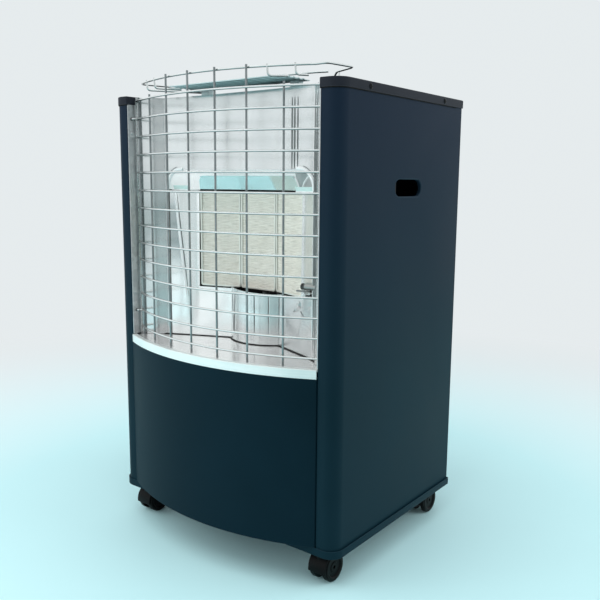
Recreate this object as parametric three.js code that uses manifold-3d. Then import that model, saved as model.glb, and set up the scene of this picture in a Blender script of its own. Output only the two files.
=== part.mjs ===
// Portable gas cabinet heater, in millimetres.
// X is the width (+X right as seen from the front), -Y is the front, +Z is up, and the wheels stand on Z = 0.
import * as THREE from 'three';
import { mergeVertices } from 'three/addons/utils/BufferGeometryUtils.js';
import Module from 'manifold-3d';

const wasm = await Module();
wasm.setup();

// Cabinet
const cabinetWidth = 450;
const cabinetDepth = 350;
const baseBottom = 50;
const baseLip = 12;
const lidTop = 705;
const lidLip = 12.5;
const sheet = 1.2;
const gap = 0.4;
const cornerRadius = 21.6;
const openingHalf = 191;
const outletBack = -115;
const rearBulge = 64;
const bulgeHalfFoot = 196;
const bulgeHalfTop = 150;
const handHole = { length: 79, height: 27, y: 6, z: 565 };

// Rear cover, which lifts off four hooks
const coverHookHeights = [160, 590];
const coverLift = 14;
const coverTop = lidTop - lidLip - 2.5 - coverLift;
const grip = { half: 46, low: 614, high: 640 };
const louvre = { rows: 3, pitch: 16, half: 48, middle: 62, feet: [100, 530] };

// Bowed front
const frontBow = 45;
const trimBottom = 307;
const trimTop = 320;
const shelfTop = 318.4;
const shelfBack = -36;
const shieldTop = 690;
const bowSteps = 12;

// Burner with three ceramic plaques set in a shallow hollow
const unitWidth = 72;
const unitTurn = 17.5;
const unitBottom = 402;
const unitHeight = 155;
const unitFront = -76;
const unitStep = 37;
const frameRim = 3;
const plaqueGrooves = 24;
const manifoldHeight = unitBottom - 58;

// Reflector
const wingFront = [188.4, -154.5];
const foldLine = [150, -129];
const archHalf = 147;
const archTop = 590;
const archRadius = 28;
const ledgeHeight = 558;
const reflectorTop = 700;

// Wire guard and the tray over the warm air outlet
const wireRadius = 1.6;
const guardInset = 18;
const barPlaces = [-184, -134, -80, -27, 27, 80, 134, 184];
const rungTop = 698;
const rungPitch = 28.2;
const rungCount = 14;
const trayHeight = 725;
const trayHalf = 192;
const trayBack = -110;
const hookPlaces = [-147, -118, -80, -27, 27, 80, 118, 147];

// Controls on the lid and the tap below them
const knobPlace = [128, 96];
const buttonPlace = [128, 30];
const tap = { top: 686, bottom: 648, half: 15, front: 20, back: 14, ports: 662, inlet: 660 };
const burnerPort = -7;
const pilotPort = 10;
const sensorPort = 8;
const knobClearance = 5.5;

// Pilot beside the foot of the right plaque, with the electrode and the flame sensor on its plate
const pilotPlace = [129, -130, 424];
const electrodeDrop = 12;
const sensorDrop = 7;
const sensorBack = 4.5;

// Casters
const wheelRadius = 21.5;
const wheelWidth = 9;
const wheelInner = 6.8;
const trail = 14;
const casterPlaces = {
  front_left: [-187, -154],
  front_right: [187, -154],
  rear_left: [-187, 138],
  rear_right: [187, 138],
};

const halfWidth = cabinetWidth / 2;
const halfDepth = cabinetDepth / 2;
const lidHalf = halfWidth - 1.2;
const panelX = lidHalf - sheet - gap;
const panelY = halfDepth - sheet - gap;
const bowRadius = (openingHalf ** 2 + frontBow ** 2) / (2 * frontBow);
const bowCentre = bowRadius - frontBow - halfDepth;
const wireBite = 0.3;
const trayInset = guardInset + 0.9 + 4 * wireRadius - wireBite + 0.3;
const rungFor = (i) => rungTop - i * rungPitch + (i > 0 ? 0.2 : 0);

function finish(color, roughness, metalness) {
  return new THREE.MeshStandardMaterial({ color, roughness, metalness, side: THREE.FrontSide });
}

const finishes = {
  darkPaint: finish(0x1c333f, 0.5, 0.1),
  lidPaint: finish(0x2d3138, 0.55, 0.1),
  polished: finish(0xd6dbdc, 0.15, 1),
  zinc: finish(0xb4b9ba, 0.4, 1),
  plated: finish(0xc6cacb, 0.25, 1),
  aluminium: finish(0xd5dcdd, 0.35, 0.9),
  ceramic: finish(0xbcbca9, 0.95, 0),
  steel: finish(0x8f9394, 0.45, 1),
  brass: finish(0xb5964e, 0.35, 1),
  copper: finish(0xb0704a, 0.35, 1),
  blackPlastic: finish(0x111214, 0.5, 0),
  redPlastic: finish(0x9c1f1c, 0.4, 0),
  whiteCeramic: finish(0xe6e3da, 0.5, 0),
};

const heater = new THREE.Group();
// The bowed front and the bulged back reach unequally far, so the origin is moved to the middle of the two.
heater.position.y = (frontBow - rearBulge) / 2;

function place(name, geometry, material, parent = heater) {
  const mesh = new THREE.Mesh(geometry, material);
  mesh.name = name;
  parent.add(mesh);
  return mesh;
}

// ---- solids, joins and cuts ----

function toSolid(geometry) {
  const bare = new THREE.BufferGeometry();
  bare.setAttribute('position', geometry.getAttribute('position'));
  if (geometry.index) bare.setIndex(geometry.index);
  const merged = mergeVertices(bare, 1e-4);
  return new wasm.Manifold(new wasm.Mesh({
    numProp: 3,
    vertProperties: new Float32Array(merged.attributes.position.array),
    triVerts: new Uint32Array(merged.index.array),
  }));
}

function toGeometry(solid) {
  const mesh = solid.getMesh();
  const geometry = new THREE.BufferGeometry();
  geometry.setAttribute('position', new THREE.BufferAttribute(new Float32Array(mesh.vertProperties), 3));
  geometry.setIndex(new THREE.BufferAttribute(new Uint32Array(mesh.triVerts), 1));
  geometry.computeVertexNormals();
  return geometry;
}

function join(first, ...others) {
  return toGeometry(others.reduce((solid, other) => solid.add(toSolid(other)), toSolid(first)));
}

function cut(body, ...tools) {
  return toGeometry(tools.reduce((solid, tool) => solid.subtract(toSolid(tool)), toSolid(body)));
}

function mirrored(geometry) {
  const flat = geometry.index ? geometry.toNonIndexed() : geometry.clone();
  const positions = flat.getAttribute('position');
  const result = new Float32Array(positions.count * 3);
  for (let i = 0; i < positions.count; i += 3) {
    for (const [from, to] of [[i, i], [i + 1, i + 2], [i + 2, i + 1]]) {
      result.set([-positions.getX(from), positions.getY(from), positions.getZ(from)], to * 3);
    }
  }
  const mirror = new THREE.BufferGeometry();
  mirror.setAttribute('position', new THREE.BufferAttribute(result, 3));
  mirror.computeVertexNormals();
  return mirror;
}

// ---- basic forms ----

function box(x0, x1, y0, y1, z0, z1) {
  return new THREE.BoxGeometry(x1 - x0, y1 - y0, z1 - z0)
    .translate((x0 + x1) / 2, (y0 + y1) / 2, (z0 + z1) / 2);
}

function upright(shape, z0, z1, curveSegments = 6) {
  return new THREE.ExtrudeGeometry(shape, { depth: z1 - z0, bevelEnabled: false, curveSegments })
    .translate(0, 0, z0);
}

// A shape drawn in (Y, Z) and given a thickness along X.
function alongX(shape, x0, x1, curveSegments = 6) {
  const turn = new THREE.Matrix4().makeBasis(
    new THREE.Vector3(0, 1, 0), new THREE.Vector3(0, 0, 1), new THREE.Vector3(1, 0, 0));
  return new THREE.ExtrudeGeometry(shape, { depth: x1 - x0, bevelEnabled: false, curveSegments })
    .applyMatrix4(turn).translate(x0, 0, 0);
}

// A shape drawn in (X, Z) and given a thickness along Y.
function alongY(shape, y0, y1, curveSegments = 6) {
  const turn = new THREE.Matrix4().makeBasis(
    new THREE.Vector3(1, 0, 0), new THREE.Vector3(0, 0, 1), new THREE.Vector3(0, -1, 0));
  return new THREE.ExtrudeGeometry(shape, { depth: y1 - y0, bevelEnabled: false, curveSegments })
    .applyMatrix4(turn).translate(0, y1, 0);
}

function rod(from, to, radius, sides = 12) {
  const a = new THREE.Vector3(...from);
  const b = new THREE.Vector3(...to);
  const length = a.distanceTo(b);
  const turn = new THREE.Quaternion().setFromUnitVectors(
    new THREE.Vector3(0, 1, 0), b.clone().sub(a).normalize());
  const middle = a.clone().add(b).multiplyScalar(0.5);
  return new THREE.CylinderGeometry(radius, radius, length, sides)
    .applyQuaternion(turn).translate(middle.x, middle.y, middle.z);
}

function roundSection(radius, sides, phase = 0) {
  const points = [];
  for (let i = 0; i < sides; i += 1) {
    const angle = phase + (i / sides) * 2 * Math.PI;
    points.push(new THREE.Vector2(radius * Math.cos(angle), radius * Math.sin(angle)));
  }
  return new THREE.Shape(points);
}

// A path through given points, which a section follows without turning more often than they do.
class PointPath extends THREE.Curve {
  constructor(points) {
    super();
    this.points = points;
    this.tangents = points.map((point, i) => {
      const before = points[Math.max(i - 1, 0)];
      const after = points[Math.min(i + 1, points.length - 1)];
      const inward = i > 0 ? point.clone().sub(before).normalize() : new THREE.Vector3();
      const outward = i < points.length - 1 ? after.clone().sub(point).normalize() : new THREE.Vector3();
      return inward.add(outward).normalize();
    });
  }

  getSpacedPoints() {
    return this.points;
  }

  getTangentAt(u) {
    return this.tangents[Math.round(u * (this.points.length - 1))].clone();
  }
}

function wire(points, radius, sides, phase = 0) {
  return new THREE.ExtrudeGeometry(roundSection(radius, sides, phase), {
    steps: points.length - 1, extrudePath: new PointPath(points), bevelEnabled: false,
  });
}

// A tube that runs straight between its corners and turns each of them on a bend of the given size.
function bentTube(corners, bend, radius, sides = 8, bendSteps = 3) {
  const p = corners.map((corner) => new THREE.Vector3(...corner));
  const points = [p[0]];
  for (let i = 1; i < p.length - 1; i += 1) {
    const start = p[i].clone().addScaledVector(p[i - 1].clone().sub(p[i]).normalize(), bend);
    const end = p[i].clone().addScaledVector(p[i + 1].clone().sub(p[i]).normalize(), bend);
    points.push(...new THREE.QuadraticBezierCurve3(start, p[i], end).getPoints(bendSteps));
  }
  points.push(p[p.length - 1]);
  return wire(points, radius, sides);
}

function roundedRectangle(x0, x1, y0, y1, radius, Kind = THREE.Shape) {
  const shape = new Kind();
  shape.moveTo(x0 + radius, y0);
  shape.lineTo(x1 - radius, y0);
  shape.absarc(x1 - radius, y0 + radius, radius, -Math.PI / 2, 0, false);
  shape.lineTo(x1, y1 - radius);
  shape.absarc(x1 - radius, y1 - radius, radius, 0, Math.PI / 2, false);
  shape.lineTo(x0 + radius, y1);
  shape.absarc(x0 + radius, y1 - radius, radius, Math.PI / 2, Math.PI, false);
  shape.lineTo(x0, y0 + radius);
  shape.absarc(x0 + radius, y0 + radius, radius, Math.PI, 1.5 * Math.PI, false);
  return shape;
}

function roundHole(x, y, radius) {
  const hole = new THREE.Path();
  hole.absarc(x, y, radius, 0, 2 * Math.PI, true);
  return hole;
}

function arcPoints(cx, cy, radius, from, to, steps) {
  const points = [];
  for (let i = 0; i <= steps; i += 1) {
    const angle = from + ((to - from) * i) / steps;
    points.push([cx + radius * Math.cos(angle), cy + radius * Math.sin(angle)]);
  }
  return points;
}

// The outline of a bent strip of sheet: the points run along one face, and the other face is to their left.
function bentStrip(points, thickness = sheet) {
  const p = points.map(([x, y]) => new THREE.Vector2(x, y));
  const leftOf = (a, b) => new THREE.Vector2(a.y - b.y, b.x - a.x).normalize();
  const back = p.map((point, i) => {
    const before = i > 0 ? leftOf(p[i - 1], point) : leftOf(point, p[1]);
    const after = i < p.length - 1 ? leftOf(point, p[i + 1]) : before;
    const mitre = before.clone().add(after).normalize();
    return point.clone().addScaledVector(mitre, thickness / mitre.dot(before));
  });
  return new THREE.Shape([...p, ...back.reverse()]);
}

// A folded sheet given by its corners and flat faces, with its thickness behind the faces.
function foldedSheet(corners, faces, thickness = sheet) {
  const p = corners.map((corner) => new THREE.Vector3(...corner));
  const normals = p.map(() => new THREE.Vector3());
  const edges = new Map();
  for (const face of faces) {
    const normal = new THREE.Vector3().crossVectors(
      p[face[1]].clone().sub(p[face[0]]), p[face[2]].clone().sub(p[face[0]])).normalize();
    face.forEach((a, i) => {
      const b = face[(i + 1) % face.length];
      normals[a].add(normal);
      if (!edges.delete(`${b},${a}`)) edges.set(`${a},${b}`, [a, b]);
    });
  }
  const behind = p.map((point, i) => point.clone().addScaledVector(normals[i].normalize(), -thickness));
  const triangles = [];
  for (const face of faces) {
    for (let i = 1; i < face.length - 1; i += 1) {
      triangles.push(p[face[0]], p[face[i]], p[face[i + 1]]);
      triangles.push(behind[face[0]], behind[face[i + 1]], behind[face[i]]);
    }
  }
  for (const [a, b] of edges.values()) {
    triangles.push(p[b], p[a], behind[a], p[b], behind[a], behind[b]);
  }
  const geometry = new THREE.BufferGeometry().setFromPoints(triangles);
  geometry.computeVertexNormals();
  return geometry;
}

// The bowed line of the front, moved inward by inset.
const bowY = (x, inset = 0) => bowCentre - Math.sqrt((bowRadius - inset) ** 2 - x * x);

function bowPoints(inset, half, steps = bowSteps) {
  const radius = bowRadius - inset;
  const sweep = Math.asin(half / radius);
  return arcPoints(0, bowCentre, radius, -Math.PI / 2 - sweep, -Math.PI / 2 + sweep, steps);
}

// ---- cabinet ----

// The bulge of the back: its two slanting cheeks and its rounded corners.
function bulgePoints(inset) {
  const deep = halfDepth + rearBulge - inset;
  const corner = 22;
  const cheek = Math.atan2(rearBulge - corner, bulgeHalfFoot - bulgeHalfTop - corner);
  const side = [bulgeHalfFoot - inset, halfDepth - inset];
  const turn = arcPoints(bulgeHalfTop - corner, deep - corner, corner, cheek / 2, Math.PI / 2, 4);
  const right = [side, ...turn];
  const left = right.map(([x, y]) => [-x, y]).reverse();
  return [...right, ...left];
}

function baseOutline(inset) {
  const x = halfWidth - inset;
  const y = halfDepth - inset;
  const rFront = cornerRadius - inset;
  const rBack = 2 - inset;
  return new THREE.Shape([
    ...arcPoints(x - rFront, -y + rFront, rFront, -Math.PI / 2, 0, 5),
    ...arcPoints(x - rBack, y - rBack, rBack, 0, Math.PI / 2, 1),
    ...bulgePoints(inset),
    ...arcPoints(-x + rBack, y - rBack, rBack, Math.PI / 2, Math.PI, 1),
    ...arcPoints(-x + rFront, -y + rFront, rFront, Math.PI, 1.5 * Math.PI, 5),
  ].map(([px, py]) => new THREE.Vector2(px, py)));
}

function makeBaseTray() {
  const floor = baseOutline(0);
  for (let i = -1; i <= 1; i += 1) {
    for (const y of [-114, 116]) {
      floor.holes.push(roundedRectangle(i * 70 - 25, i * 70 + 25, y - 4, y + 4, 3.9, THREE.Path));
    }
  }
  const lip = baseOutline(0);
  lip.holes.push(baseOutline(sheet));
  return join(
    upright(floor, baseBottom, baseBottom + sheet, 1),
    upright(lip, baseBottom, baseBottom + baseLip));
}

function makeSidePanel() {
  const top = lidTop - sheet - gap;
  const bottom = baseBottom + sheet + gap;
  const radius = cornerRadius - sheet - gap;
  const flange = 18;
  const shell = upright(bentStrip([
    [openingHalf, -158],
    [openingHalf, -panelY],
    ...arcPoints(panelX - radius, -panelY + radius, radius, -Math.PI / 2, 0, 6),
    [panelX, panelY],
    [panelX - flange, panelY],
  ]), bottom, top);
  const halfHole = handHole.length / 2;
  const hole = roundedRectangle(handHole.y - halfHole, handHole.y + halfHole,
    handHole.z - handHole.height / 2, handHole.z + handHole.height / 2, handHole.height / 2 - 0.01);
  const slots = coverHookHeights.map((z) => box(
    panelX - 15, panelX - 8, panelY - 5, panelY + 5, z - 5, z + 7 + coverLift));
  return cut(shell, alongX(hole, panelX - 5, panelX + 5, 4), ...slots);
}

function lidOutline(inset) {
  const x = lidHalf - inset;
  const y = halfDepth - inset;
  const armX = openingHalf - sheet - gap + inset;
  const rFront = cornerRadius - inset;
  const rBack = 2 - inset;
  return new THREE.Shape([
    [armX, -y],
    ...arcPoints(x - rFront, -y + rFront, rFront, -Math.PI / 2, 0, 5),
    ...arcPoints(x - rBack, y - rBack, rBack, 0, Math.PI / 2, 1),
    ...arcPoints(-x + rBack, y - rBack, rBack, Math.PI / 2, Math.PI, 1),
    ...arcPoints(-x + rFront, -y + rFront, rFront, Math.PI, 1.5 * Math.PI, 5),
    [-armX, -y],
    [-armX, outletBack + inset],
    [armX, outletBack + inset],
  ].map(([px, py]) => new THREE.Vector2(px, py)));
}

function makeLid() {
  const plate = lidOutline(0);
  plate.holes.push(roundHole(...knobPlace, 6));
  plate.holes.push(roundHole(...buttonPlace, 8.5));
  const lip = lidOutline(0);
  lip.holes.push(lidOutline(sheet));
  return join(upright(plate, lidTop - sheet, lidTop, 4), upright(lip, lidTop - lidLip, lidTop));
}

function bowFlange(outer, inner, half, z0, z1) {
  const shape = new THREE.Shape([...bowPoints(outer, half), ...bowPoints(inner, half).reverse()]
    .map(([x, y]) => new THREE.Vector2(x, y)));
  return upright(shape, z0, z1);
}

function makeFrontPanel() {
  const half = openingHalf - gap;
  const bottom = baseBottom + baseLip + gap;
  const top = trimBottom - gap;
  const face = bowPoints(0, half);
  const skin = upright(bentStrip([[-half, face[0][1] + 12], ...face, [half, face[0][1] + 12]]), bottom, top);
  return join(skin,
    bowFlange(0.5, 15, half - 0.5, bottom, bottom + sheet),
    bowFlange(0.5, 15, half - 0.5, top - sheet, top));
}

function makeTrimStrip() {
  const half = openingHalf - gap;
  return join(
    upright(bentStrip(bowPoints(0, half), 2), trimBottom, trimTop),
    bowFlange(0.5, 8, half - 0.5, shelfTop + gap, trimTop));
}

// The corners of a rung's line lie midway between the bars, so that each bar crosses a straight stretch.
function rungLine() {
  const ends = barPlaces[barPlaces.length - 1] + 2.2;
  const knots = barPlaces.slice(1).map((x, i) => (x + barPlaces[i]) / 2);
  return [-ends, ...knots, ends].map((x) => [x, bowY(x, guardInset)]);
}

// Where an upright bar stands behind the rungs, and how far it is turned to face them.
function barSeat(x) {
  const line = rungLine();
  const i = line.findIndex(([knot]) => knot > x);
  const [[x0, y0], [x1, y1]] = [line[i - 1], line[i]];
  const turn = Math.atan2(y1 - y0, x1 - x0);
  const back = 2 * wireRadius - wireBite;
  const y = y0 + (y1 - y0) * (x - x0) / (x1 - x0);
  return { x: x - back * Math.sin(turn), y: y + back * Math.cos(turn), turn };
}

function makeShelf() {
  const edge = openingHalf - gap - 0.2;
  const wide = panelX - sheet - gap;
  const shape = new THREE.Shape([
    ...bowPoints(2 + gap, edge),
    [edge, -154], [wide, -154], [wide, shelfBack], [-wide, shelfBack], [-wide, -154], [-edge, -154],
  ].map(([x, y]) => new THREE.Vector2(x, y)));
  barPlaces.map(barSeat).forEach((seat) => shape.holes.push(roundHole(seat.x, seat.y, wireRadius + 0.9)));
  const bottom = shelfTop - sheet;
  return join(
    upright(shape, bottom, shelfTop, 2),
    box(wide - sheet, wide, -150, shelfBack, bottom - 16, shelfTop),
    box(-wide, -wide + sheet, -150, shelfBack, bottom - 16, shelfTop),
    box(-wide + 2, wide - 2, shelfBack - sheet, shelfBack, bottom - 14, shelfTop));
}

const hookHeights = [rungFor(1), rungFor(12)];
const railY = -165.5;

function makeRail() {
  const bottom = trimTop + gap;
  const strip = new THREE.Shape([
    new THREE.Vector2(-172.8, bottom), new THREE.Vector2(-158.2, bottom),
    new THREE.Vector2(-158.2, lidTop - lidLip - gap), new THREE.Vector2(-172.8, lidTop - lidLip - gap),
  ]);
  hookHeights.forEach((z) => strip.holes.push(roundHole(railY, z, 2.8)));
  return alongX(strip, openingHalf - gap - sheet, openingHalf - gap, 3);
}

function makeHeatShield() {
  const wide = panelX - sheet - gap;
  const y = shelfBack - 8;
  const plan = bentStrip([[-wide, y + 16], [-wide, y], [wide, y], [wide, y + 16]]);
  const plate = upright(plan, shelfTop + gap, shieldTop);
  const slot = alongY(roundedRectangle(158, 175, 406, 430, 6), y - 5, y + 5, 3);
  return cut(plate, rod([180, y - 5, manifoldHeight], [180, y + 5, manifoldHeight], 6, 12), slot);
}

function makeRearRail() {
  const wide = panelX - sheet - gap;
  const y = panelY - sheet - gap;
  const profile = bentStrip([
    [y, 682], [y, lidTop - sheet - gap], [y - 22, lidTop - sheet - gap], [y - 22, 682],
  ]);
  return alongX(profile, -wide, wide);
}

function makeRearCover() {
  const bottom = baseBottom + baseLip + gap;
  const foot = [[bulgeHalfFoot + 18, halfDepth], ...bulgePoints(0), [-bulgeHalfFoot - 18, halfDepth]];
  const skin = upright(bentStrip(foot), bottom, coverTop);
  const cap = upright(new THREE.Shape(bulgePoints(0.4).map(([x, y]) => new THREE.Vector2(x, y))),
    coverTop - sheet, coverTop);
  const deep = halfDepth + rearBulge;
  const slots = [];
  for (let row = 0; row < louvre.rows; row += 1) {
    for (const x of [-louvre.middle, louvre.middle]) {
      for (const z of louvre.feet.map((low) => low + row * louvre.pitch)) {
        slots.push(box(x - louvre.half, x + louvre.half, deep - 4, deep + 4, z - 3, z + 3));
      }
    }
  }
  const gripOutline = roundedRectangle(-grip.half, grip.half, grip.low, grip.high, 12.9);
  const gripHole = alongY(gripOutline, deep - 4, deep + 4, 3);
  const hooks = [-1, 1].flatMap((side) => coverHookHeights.map((z) => {
    const x = side * (panelX - 11.5);
    return join(
      box(x - 2.5, x + 2.5, panelY - sheet - 1.6, halfDepth - 0.5, z - 3, z + 5),
      box(x - 2.5, x + 2.5, panelY - sheet - 1.6 - sheet, panelY - sheet - 1.5, z - 16, z + 5));
  }));
  return cut(join(skin, cap, ...hooks), gripHole, ...slots);
}

function makeCabinet() {
  place('base_tray', makeBaseTray(), finishes.lidPaint);
  const side = makeSidePanel();
  place('side_panel_right', side, finishes.darkPaint);
  place('side_panel_left', mirrored(side), finishes.darkPaint);
  place('top_lid', makeLid(), finishes.lidPaint);
  place('front_panel', makeFrontPanel(), finishes.darkPaint);
  place('front_trim_strip', makeTrimStrip(), finishes.aluminium);
  place('burner_shelf', makeShelf(), finishes.zinc);
  const rail = makeRail();
  place('guard_rail_right', rail, finishes.zinc);
  place('guard_rail_left', mirrored(rail), finishes.zinc);
  place('heat_shield', makeHeatShield(), finishes.zinc);
  place('rear_cross_rail', makeRearRail(), finishes.zinc);
  place('rear_cover', makeRearCover(), finishes.darkPaint);
}

// ---- reflector ----

function archShape(half, top, bottom, radius) {
  const shape = new THREE.Shape();
  shape.moveTo(-half, bottom);
  shape.lineTo(half, bottom);
  shape.lineTo(half, top - radius);
  shape.absarc(half - radius, top - radius, radius, 0, Math.PI / 2, false);
  shape.lineTo(-half + radius, top);
  shape.absarc(-half + radius, top - radius, radius, Math.PI / 2, Math.PI, false);
  return shape;
}

// The plan of the folded front sheet, from the left wing to the right one.
const reflectorPlan = [
  ...[wingFront, foldLine, [75, -122.5]].map(([x, y]) => [-x, y]),
  [0, -120], [75, -122.5], foldLine, wingFront,
];

function makeReflectorPanel() {
  const strip = upright(bentStrip(reflectorPlan), shelfTop + gap, reflectorTop);
  return cut(strip, alongY(archShape(archHalf, archTop, shelfTop - 5, archRadius), -140, -100, 8));
}

function makeReflectorRecess() {
  const front = -132;
  const back = -72;
  const inner = archShape(archHalf, archTop, ledgeHeight + sheet, archRadius);
  const outer = archShape(archHalf + sheet, archTop + sheet, ledgeHeight, archRadius + sheet);
  const shell = cut(alongY(outer, front, back, 6), alongY(inner, front - 5, back - sheet, 6));
  const behindPanel = bentStrip(reflectorPlan.slice().reverse(), 30);
  const behindSheet = upright(behindPanel, ledgeHeight - 5, archTop + 5).translate(0, sheet + gap, 0);
  return cut(shell, behindSheet, box(-109.4, 109.4, front - 5, back + 5, ledgeHeight - 5, ledgeHeight + 5));
}

// One side of the lower reflector: it folds in from the arch to the burner and on to the middle cover.
function makeReflectorSide() {
  const foot = shelfTop + gap;
  const low = 400;
  const high = ledgeHeight - gap;
  const corners = [
    [146.4, -126.4, foot], [104, -107.5, foot], [52, -86, foot],
    [146.4, -126.4, low], [118, -115.5, low], [110.8, -101, low], [52, -84, low],
    [146.4, -126.4, high], [131, -122.5, high], [110.8, -99, high],
  ];
  const faces = [
    [0, 3, 4, 1], [1, 4, 5], [1, 5, 6, 2],
    [3, 7, 8, 4], [4, 8, 9, 5],
  ];
  const slot = alongY(roundedRectangle(136.8, 145.2, 407, 429, 4), -140, -100, 3);
  return cut(foldedSheet(corners, faces), slot);
}

// The creased cover below the middle of the burner, bulging forward round the mixing tubes.
function makeLowerCover() {
  const half = 50.5;
  const reach = 19;
  const radius = (half ** 2 + reach ** 2) / (2 * reach);
  const sweep = Math.asin(half / radius);
  const plan = arcPoints(0, -87 - reach + radius, radius, -Math.PI / 2 - sweep, -Math.PI / 2 + sweep, 9);
  return upright(bentStrip(plan), shelfTop + gap, 397);
}

const unitEdge = unitStep + unitWidth * Math.cos(THREE.MathUtils.degToRad(unitTurn));
const unitEdgeY = unitFront - unitWidth * Math.sin(THREE.MathUtils.degToRad(unitTurn));

function makeBurnerHood() {
  const low = unitBottom + unitHeight + 3;
  const lean = 12;
  const plan = [[-unitEdge, unitEdgeY], [-unitStep, unitFront], [unitStep, unitFront], [unitEdge, unitEdgeY]];
  const corners = [
    ...plan.map(([x, y]) => [x, y, low]),
    ...plan.map(([x, y]) => [x * 0.97, y - lean, low + 21]),
  ];
  const faces = [[0, 1, 5, 4], [1, 2, 6, 5], [2, 3, 7, 6]];
  const roof = [
    ...plan.map(([x, y]) => [x * 0.97, y - lean]),
    [unitEdge * 0.97, -73.6], [-unitEdge * 0.97, -73.6],
  ].map(([x, y]) => new THREE.Vector2(x, y));
  return join(foldedSheet(corners, faces), upright(new THREE.Shape(roof), low + 20.4, low + 21.6));
}

function makeReflector() {
  place('reflector_panel', makeReflectorPanel(), finishes.polished);
  place('reflector_recess', makeReflectorRecess(), finishes.polished);
  const side = makeReflectorSide();
  place('reflector_side_right', side, finishes.polished);
  place('reflector_side_left', mirrored(side), finishes.polished);
  place('lower_burner_cover', makeLowerCover(), finishes.polished);
  place('burner_hood', makeBurnerHood(), finishes.polished);
}

// ---- burner ----

// Each unit is drawn with its front at Y = 0 and its foot at Z = 0.
function makePlaque() {
  const half = unitWidth / 2 - 1.8;
  const low = 1.8;
  const high = unitHeight - 1.8;
  const pitch = (high - low) / plaqueGrooves;
  const profile = [[11.5, high], [11.5, low], [1.8, low]];
  for (let i = 0; i < plaqueGrooves; i += 1) {
    profile.push([2.4, low + (i + 0.5) * pitch], [1.8, low + (i + 1) * pitch]);
  }
  return alongX(new THREE.Shape(profile.map(([y, z]) => new THREE.Vector2(y, z))), -half, half);
}

function makePlaqueFrame() {
  const half = unitWidth / 2;
  const wall = roundedRectangle(-half, half, 0, unitHeight, 4);
  wall.holes.push(roundedRectangle(-half + 1.4, half - 1.4, 1.4, unitHeight - 1.4, 0.5, THREE.Path));
  const face = roundedRectangle(-half, half, 0, unitHeight, 4);
  face.holes.push(roundedRectangle(-half + frameRim, half - frameRim, frameRim, unitHeight - frameRim, 3,
    THREE.Path));
  return join(alongY(face, 0, 1.4, 1), alongY(wall, 0, 12, 1));
}

// The cast body behind a plaque, with the foot that its mixing tube runs down from.
function makeBurnerBody() {
  const half = unitWidth / 2 - 5;
  return join(
    alongY(roundedRectangle(-half, half, 3, unitHeight - 3, 5), 12.4, 26, 3),
    rod([0, 20, 10], [0, 20, -34], 5.5, 8),
    rod([0, 20, -30], [0, 20, -46], 7.5, 8));
}

const unitPlaces = {
  left: [-unitStep - (unitEdge - unitStep) / 2, (unitFront + unitEdgeY) / 2, unitTurn],
  centre: [0, unitFront, 0],
  right: [unitStep + (unitEdge - unitStep) / 2, (unitFront + unitEdgeY) / 2, -unitTurn],
};

// Where the mixing tubes stand, from left to right.
const tubeFeet = Object.values(unitPlaces).map(([x, y, turn]) => {
  const angle = THREE.MathUtils.degToRad(turn);
  return [x - 20 * Math.sin(angle), y + 20 * Math.cos(angle)];
});
const manifoldEnd = tubeFeet[tubeFeet.length - 1];

function makeManifold() {
  const pieces = tubeFeet.map(([x, y]) => join(
    rod([x, y, manifoldHeight - 5], [x, y, manifoldHeight + 6], 5, 6),
    rod([x, y, manifoldHeight + 5], [x, y, manifoldHeight + 11.5], 2.2, 8)));
  const links = [];
  for (let i = 0; i < 2; i += 1) {
    links.push(rod([...tubeFeet[i], manifoldHeight], [...tubeFeet[i + 1], manifoldHeight], 3.6, 8));
  }
  const middle = tubeFeet[1][1];
  const stand = box(-14, 14, middle - 6, middle + 6, shelfTop + gap, manifoldHeight - 3);
  return join(pieces[0], ...pieces.slice(1), ...links, stand);
}

function makeBurner() {
  const plaque = makePlaque();
  const frame = makePlaqueFrame();
  const body = makeBurnerBody();
  for (const [name, [x, y, turn]] of Object.entries(unitPlaces)) {
    const unit = new THREE.Group();
    unit.position.set(x, y, unitBottom);
    unit.rotation.z = THREE.MathUtils.degToRad(turn);
    heater.add(unit);
    place(`ceramic_plaque_${name}`, plaque, finishes.ceramic, unit);
    place(`plaque_frame_${name}`, frame, finishes.aluminium, unit);
    place(`burner_body_${name}`, body, finishes.steel, unit);
  }
  place('injector_manifold', makeManifold(), finishes.brass);
}

// ---- wire guard ----

function makeWireGuard() {
  const outer = barPlaces[barPlaces.length - 1];
  const wires = [];
  for (let i = 0; i < rungCount; i += 1) {
    const z = rungFor(i);
    const line = rungLine().map(([x, y]) => new THREE.Vector3(x, y, z));
    wires.push(wire(line, wireRadius, 6, Math.PI / 2));
    if (i === 1 || i === rungCount - 2) {
      for (const side of [-1, 1]) {
        wires.push(bentTube([[side * outer, bowY(outer, guardInset), z], [side * (outer + 2), railY, z],
          [side * 190.2, railY, z]], 2.5, wireRadius, 6, 2));
      }
    }
  }
  for (const x of barPlaces) {
    const reachesTray = Math.abs(x) < 100;
    const top = reachesTray ? trayHeight + 3 : rungTop + 6;
    const foot = shelfTop - 3.4;
    const seat = barSeat(x);
    wires.push(new THREE.CylinderGeometry(wireRadius, wireRadius, top - foot, 6)
      .rotateX(Math.PI / 2).rotateZ(seat.turn).translate(seat.x, seat.y, (top + foot) / 2));
  }
  return join(...wires);
}

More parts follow.
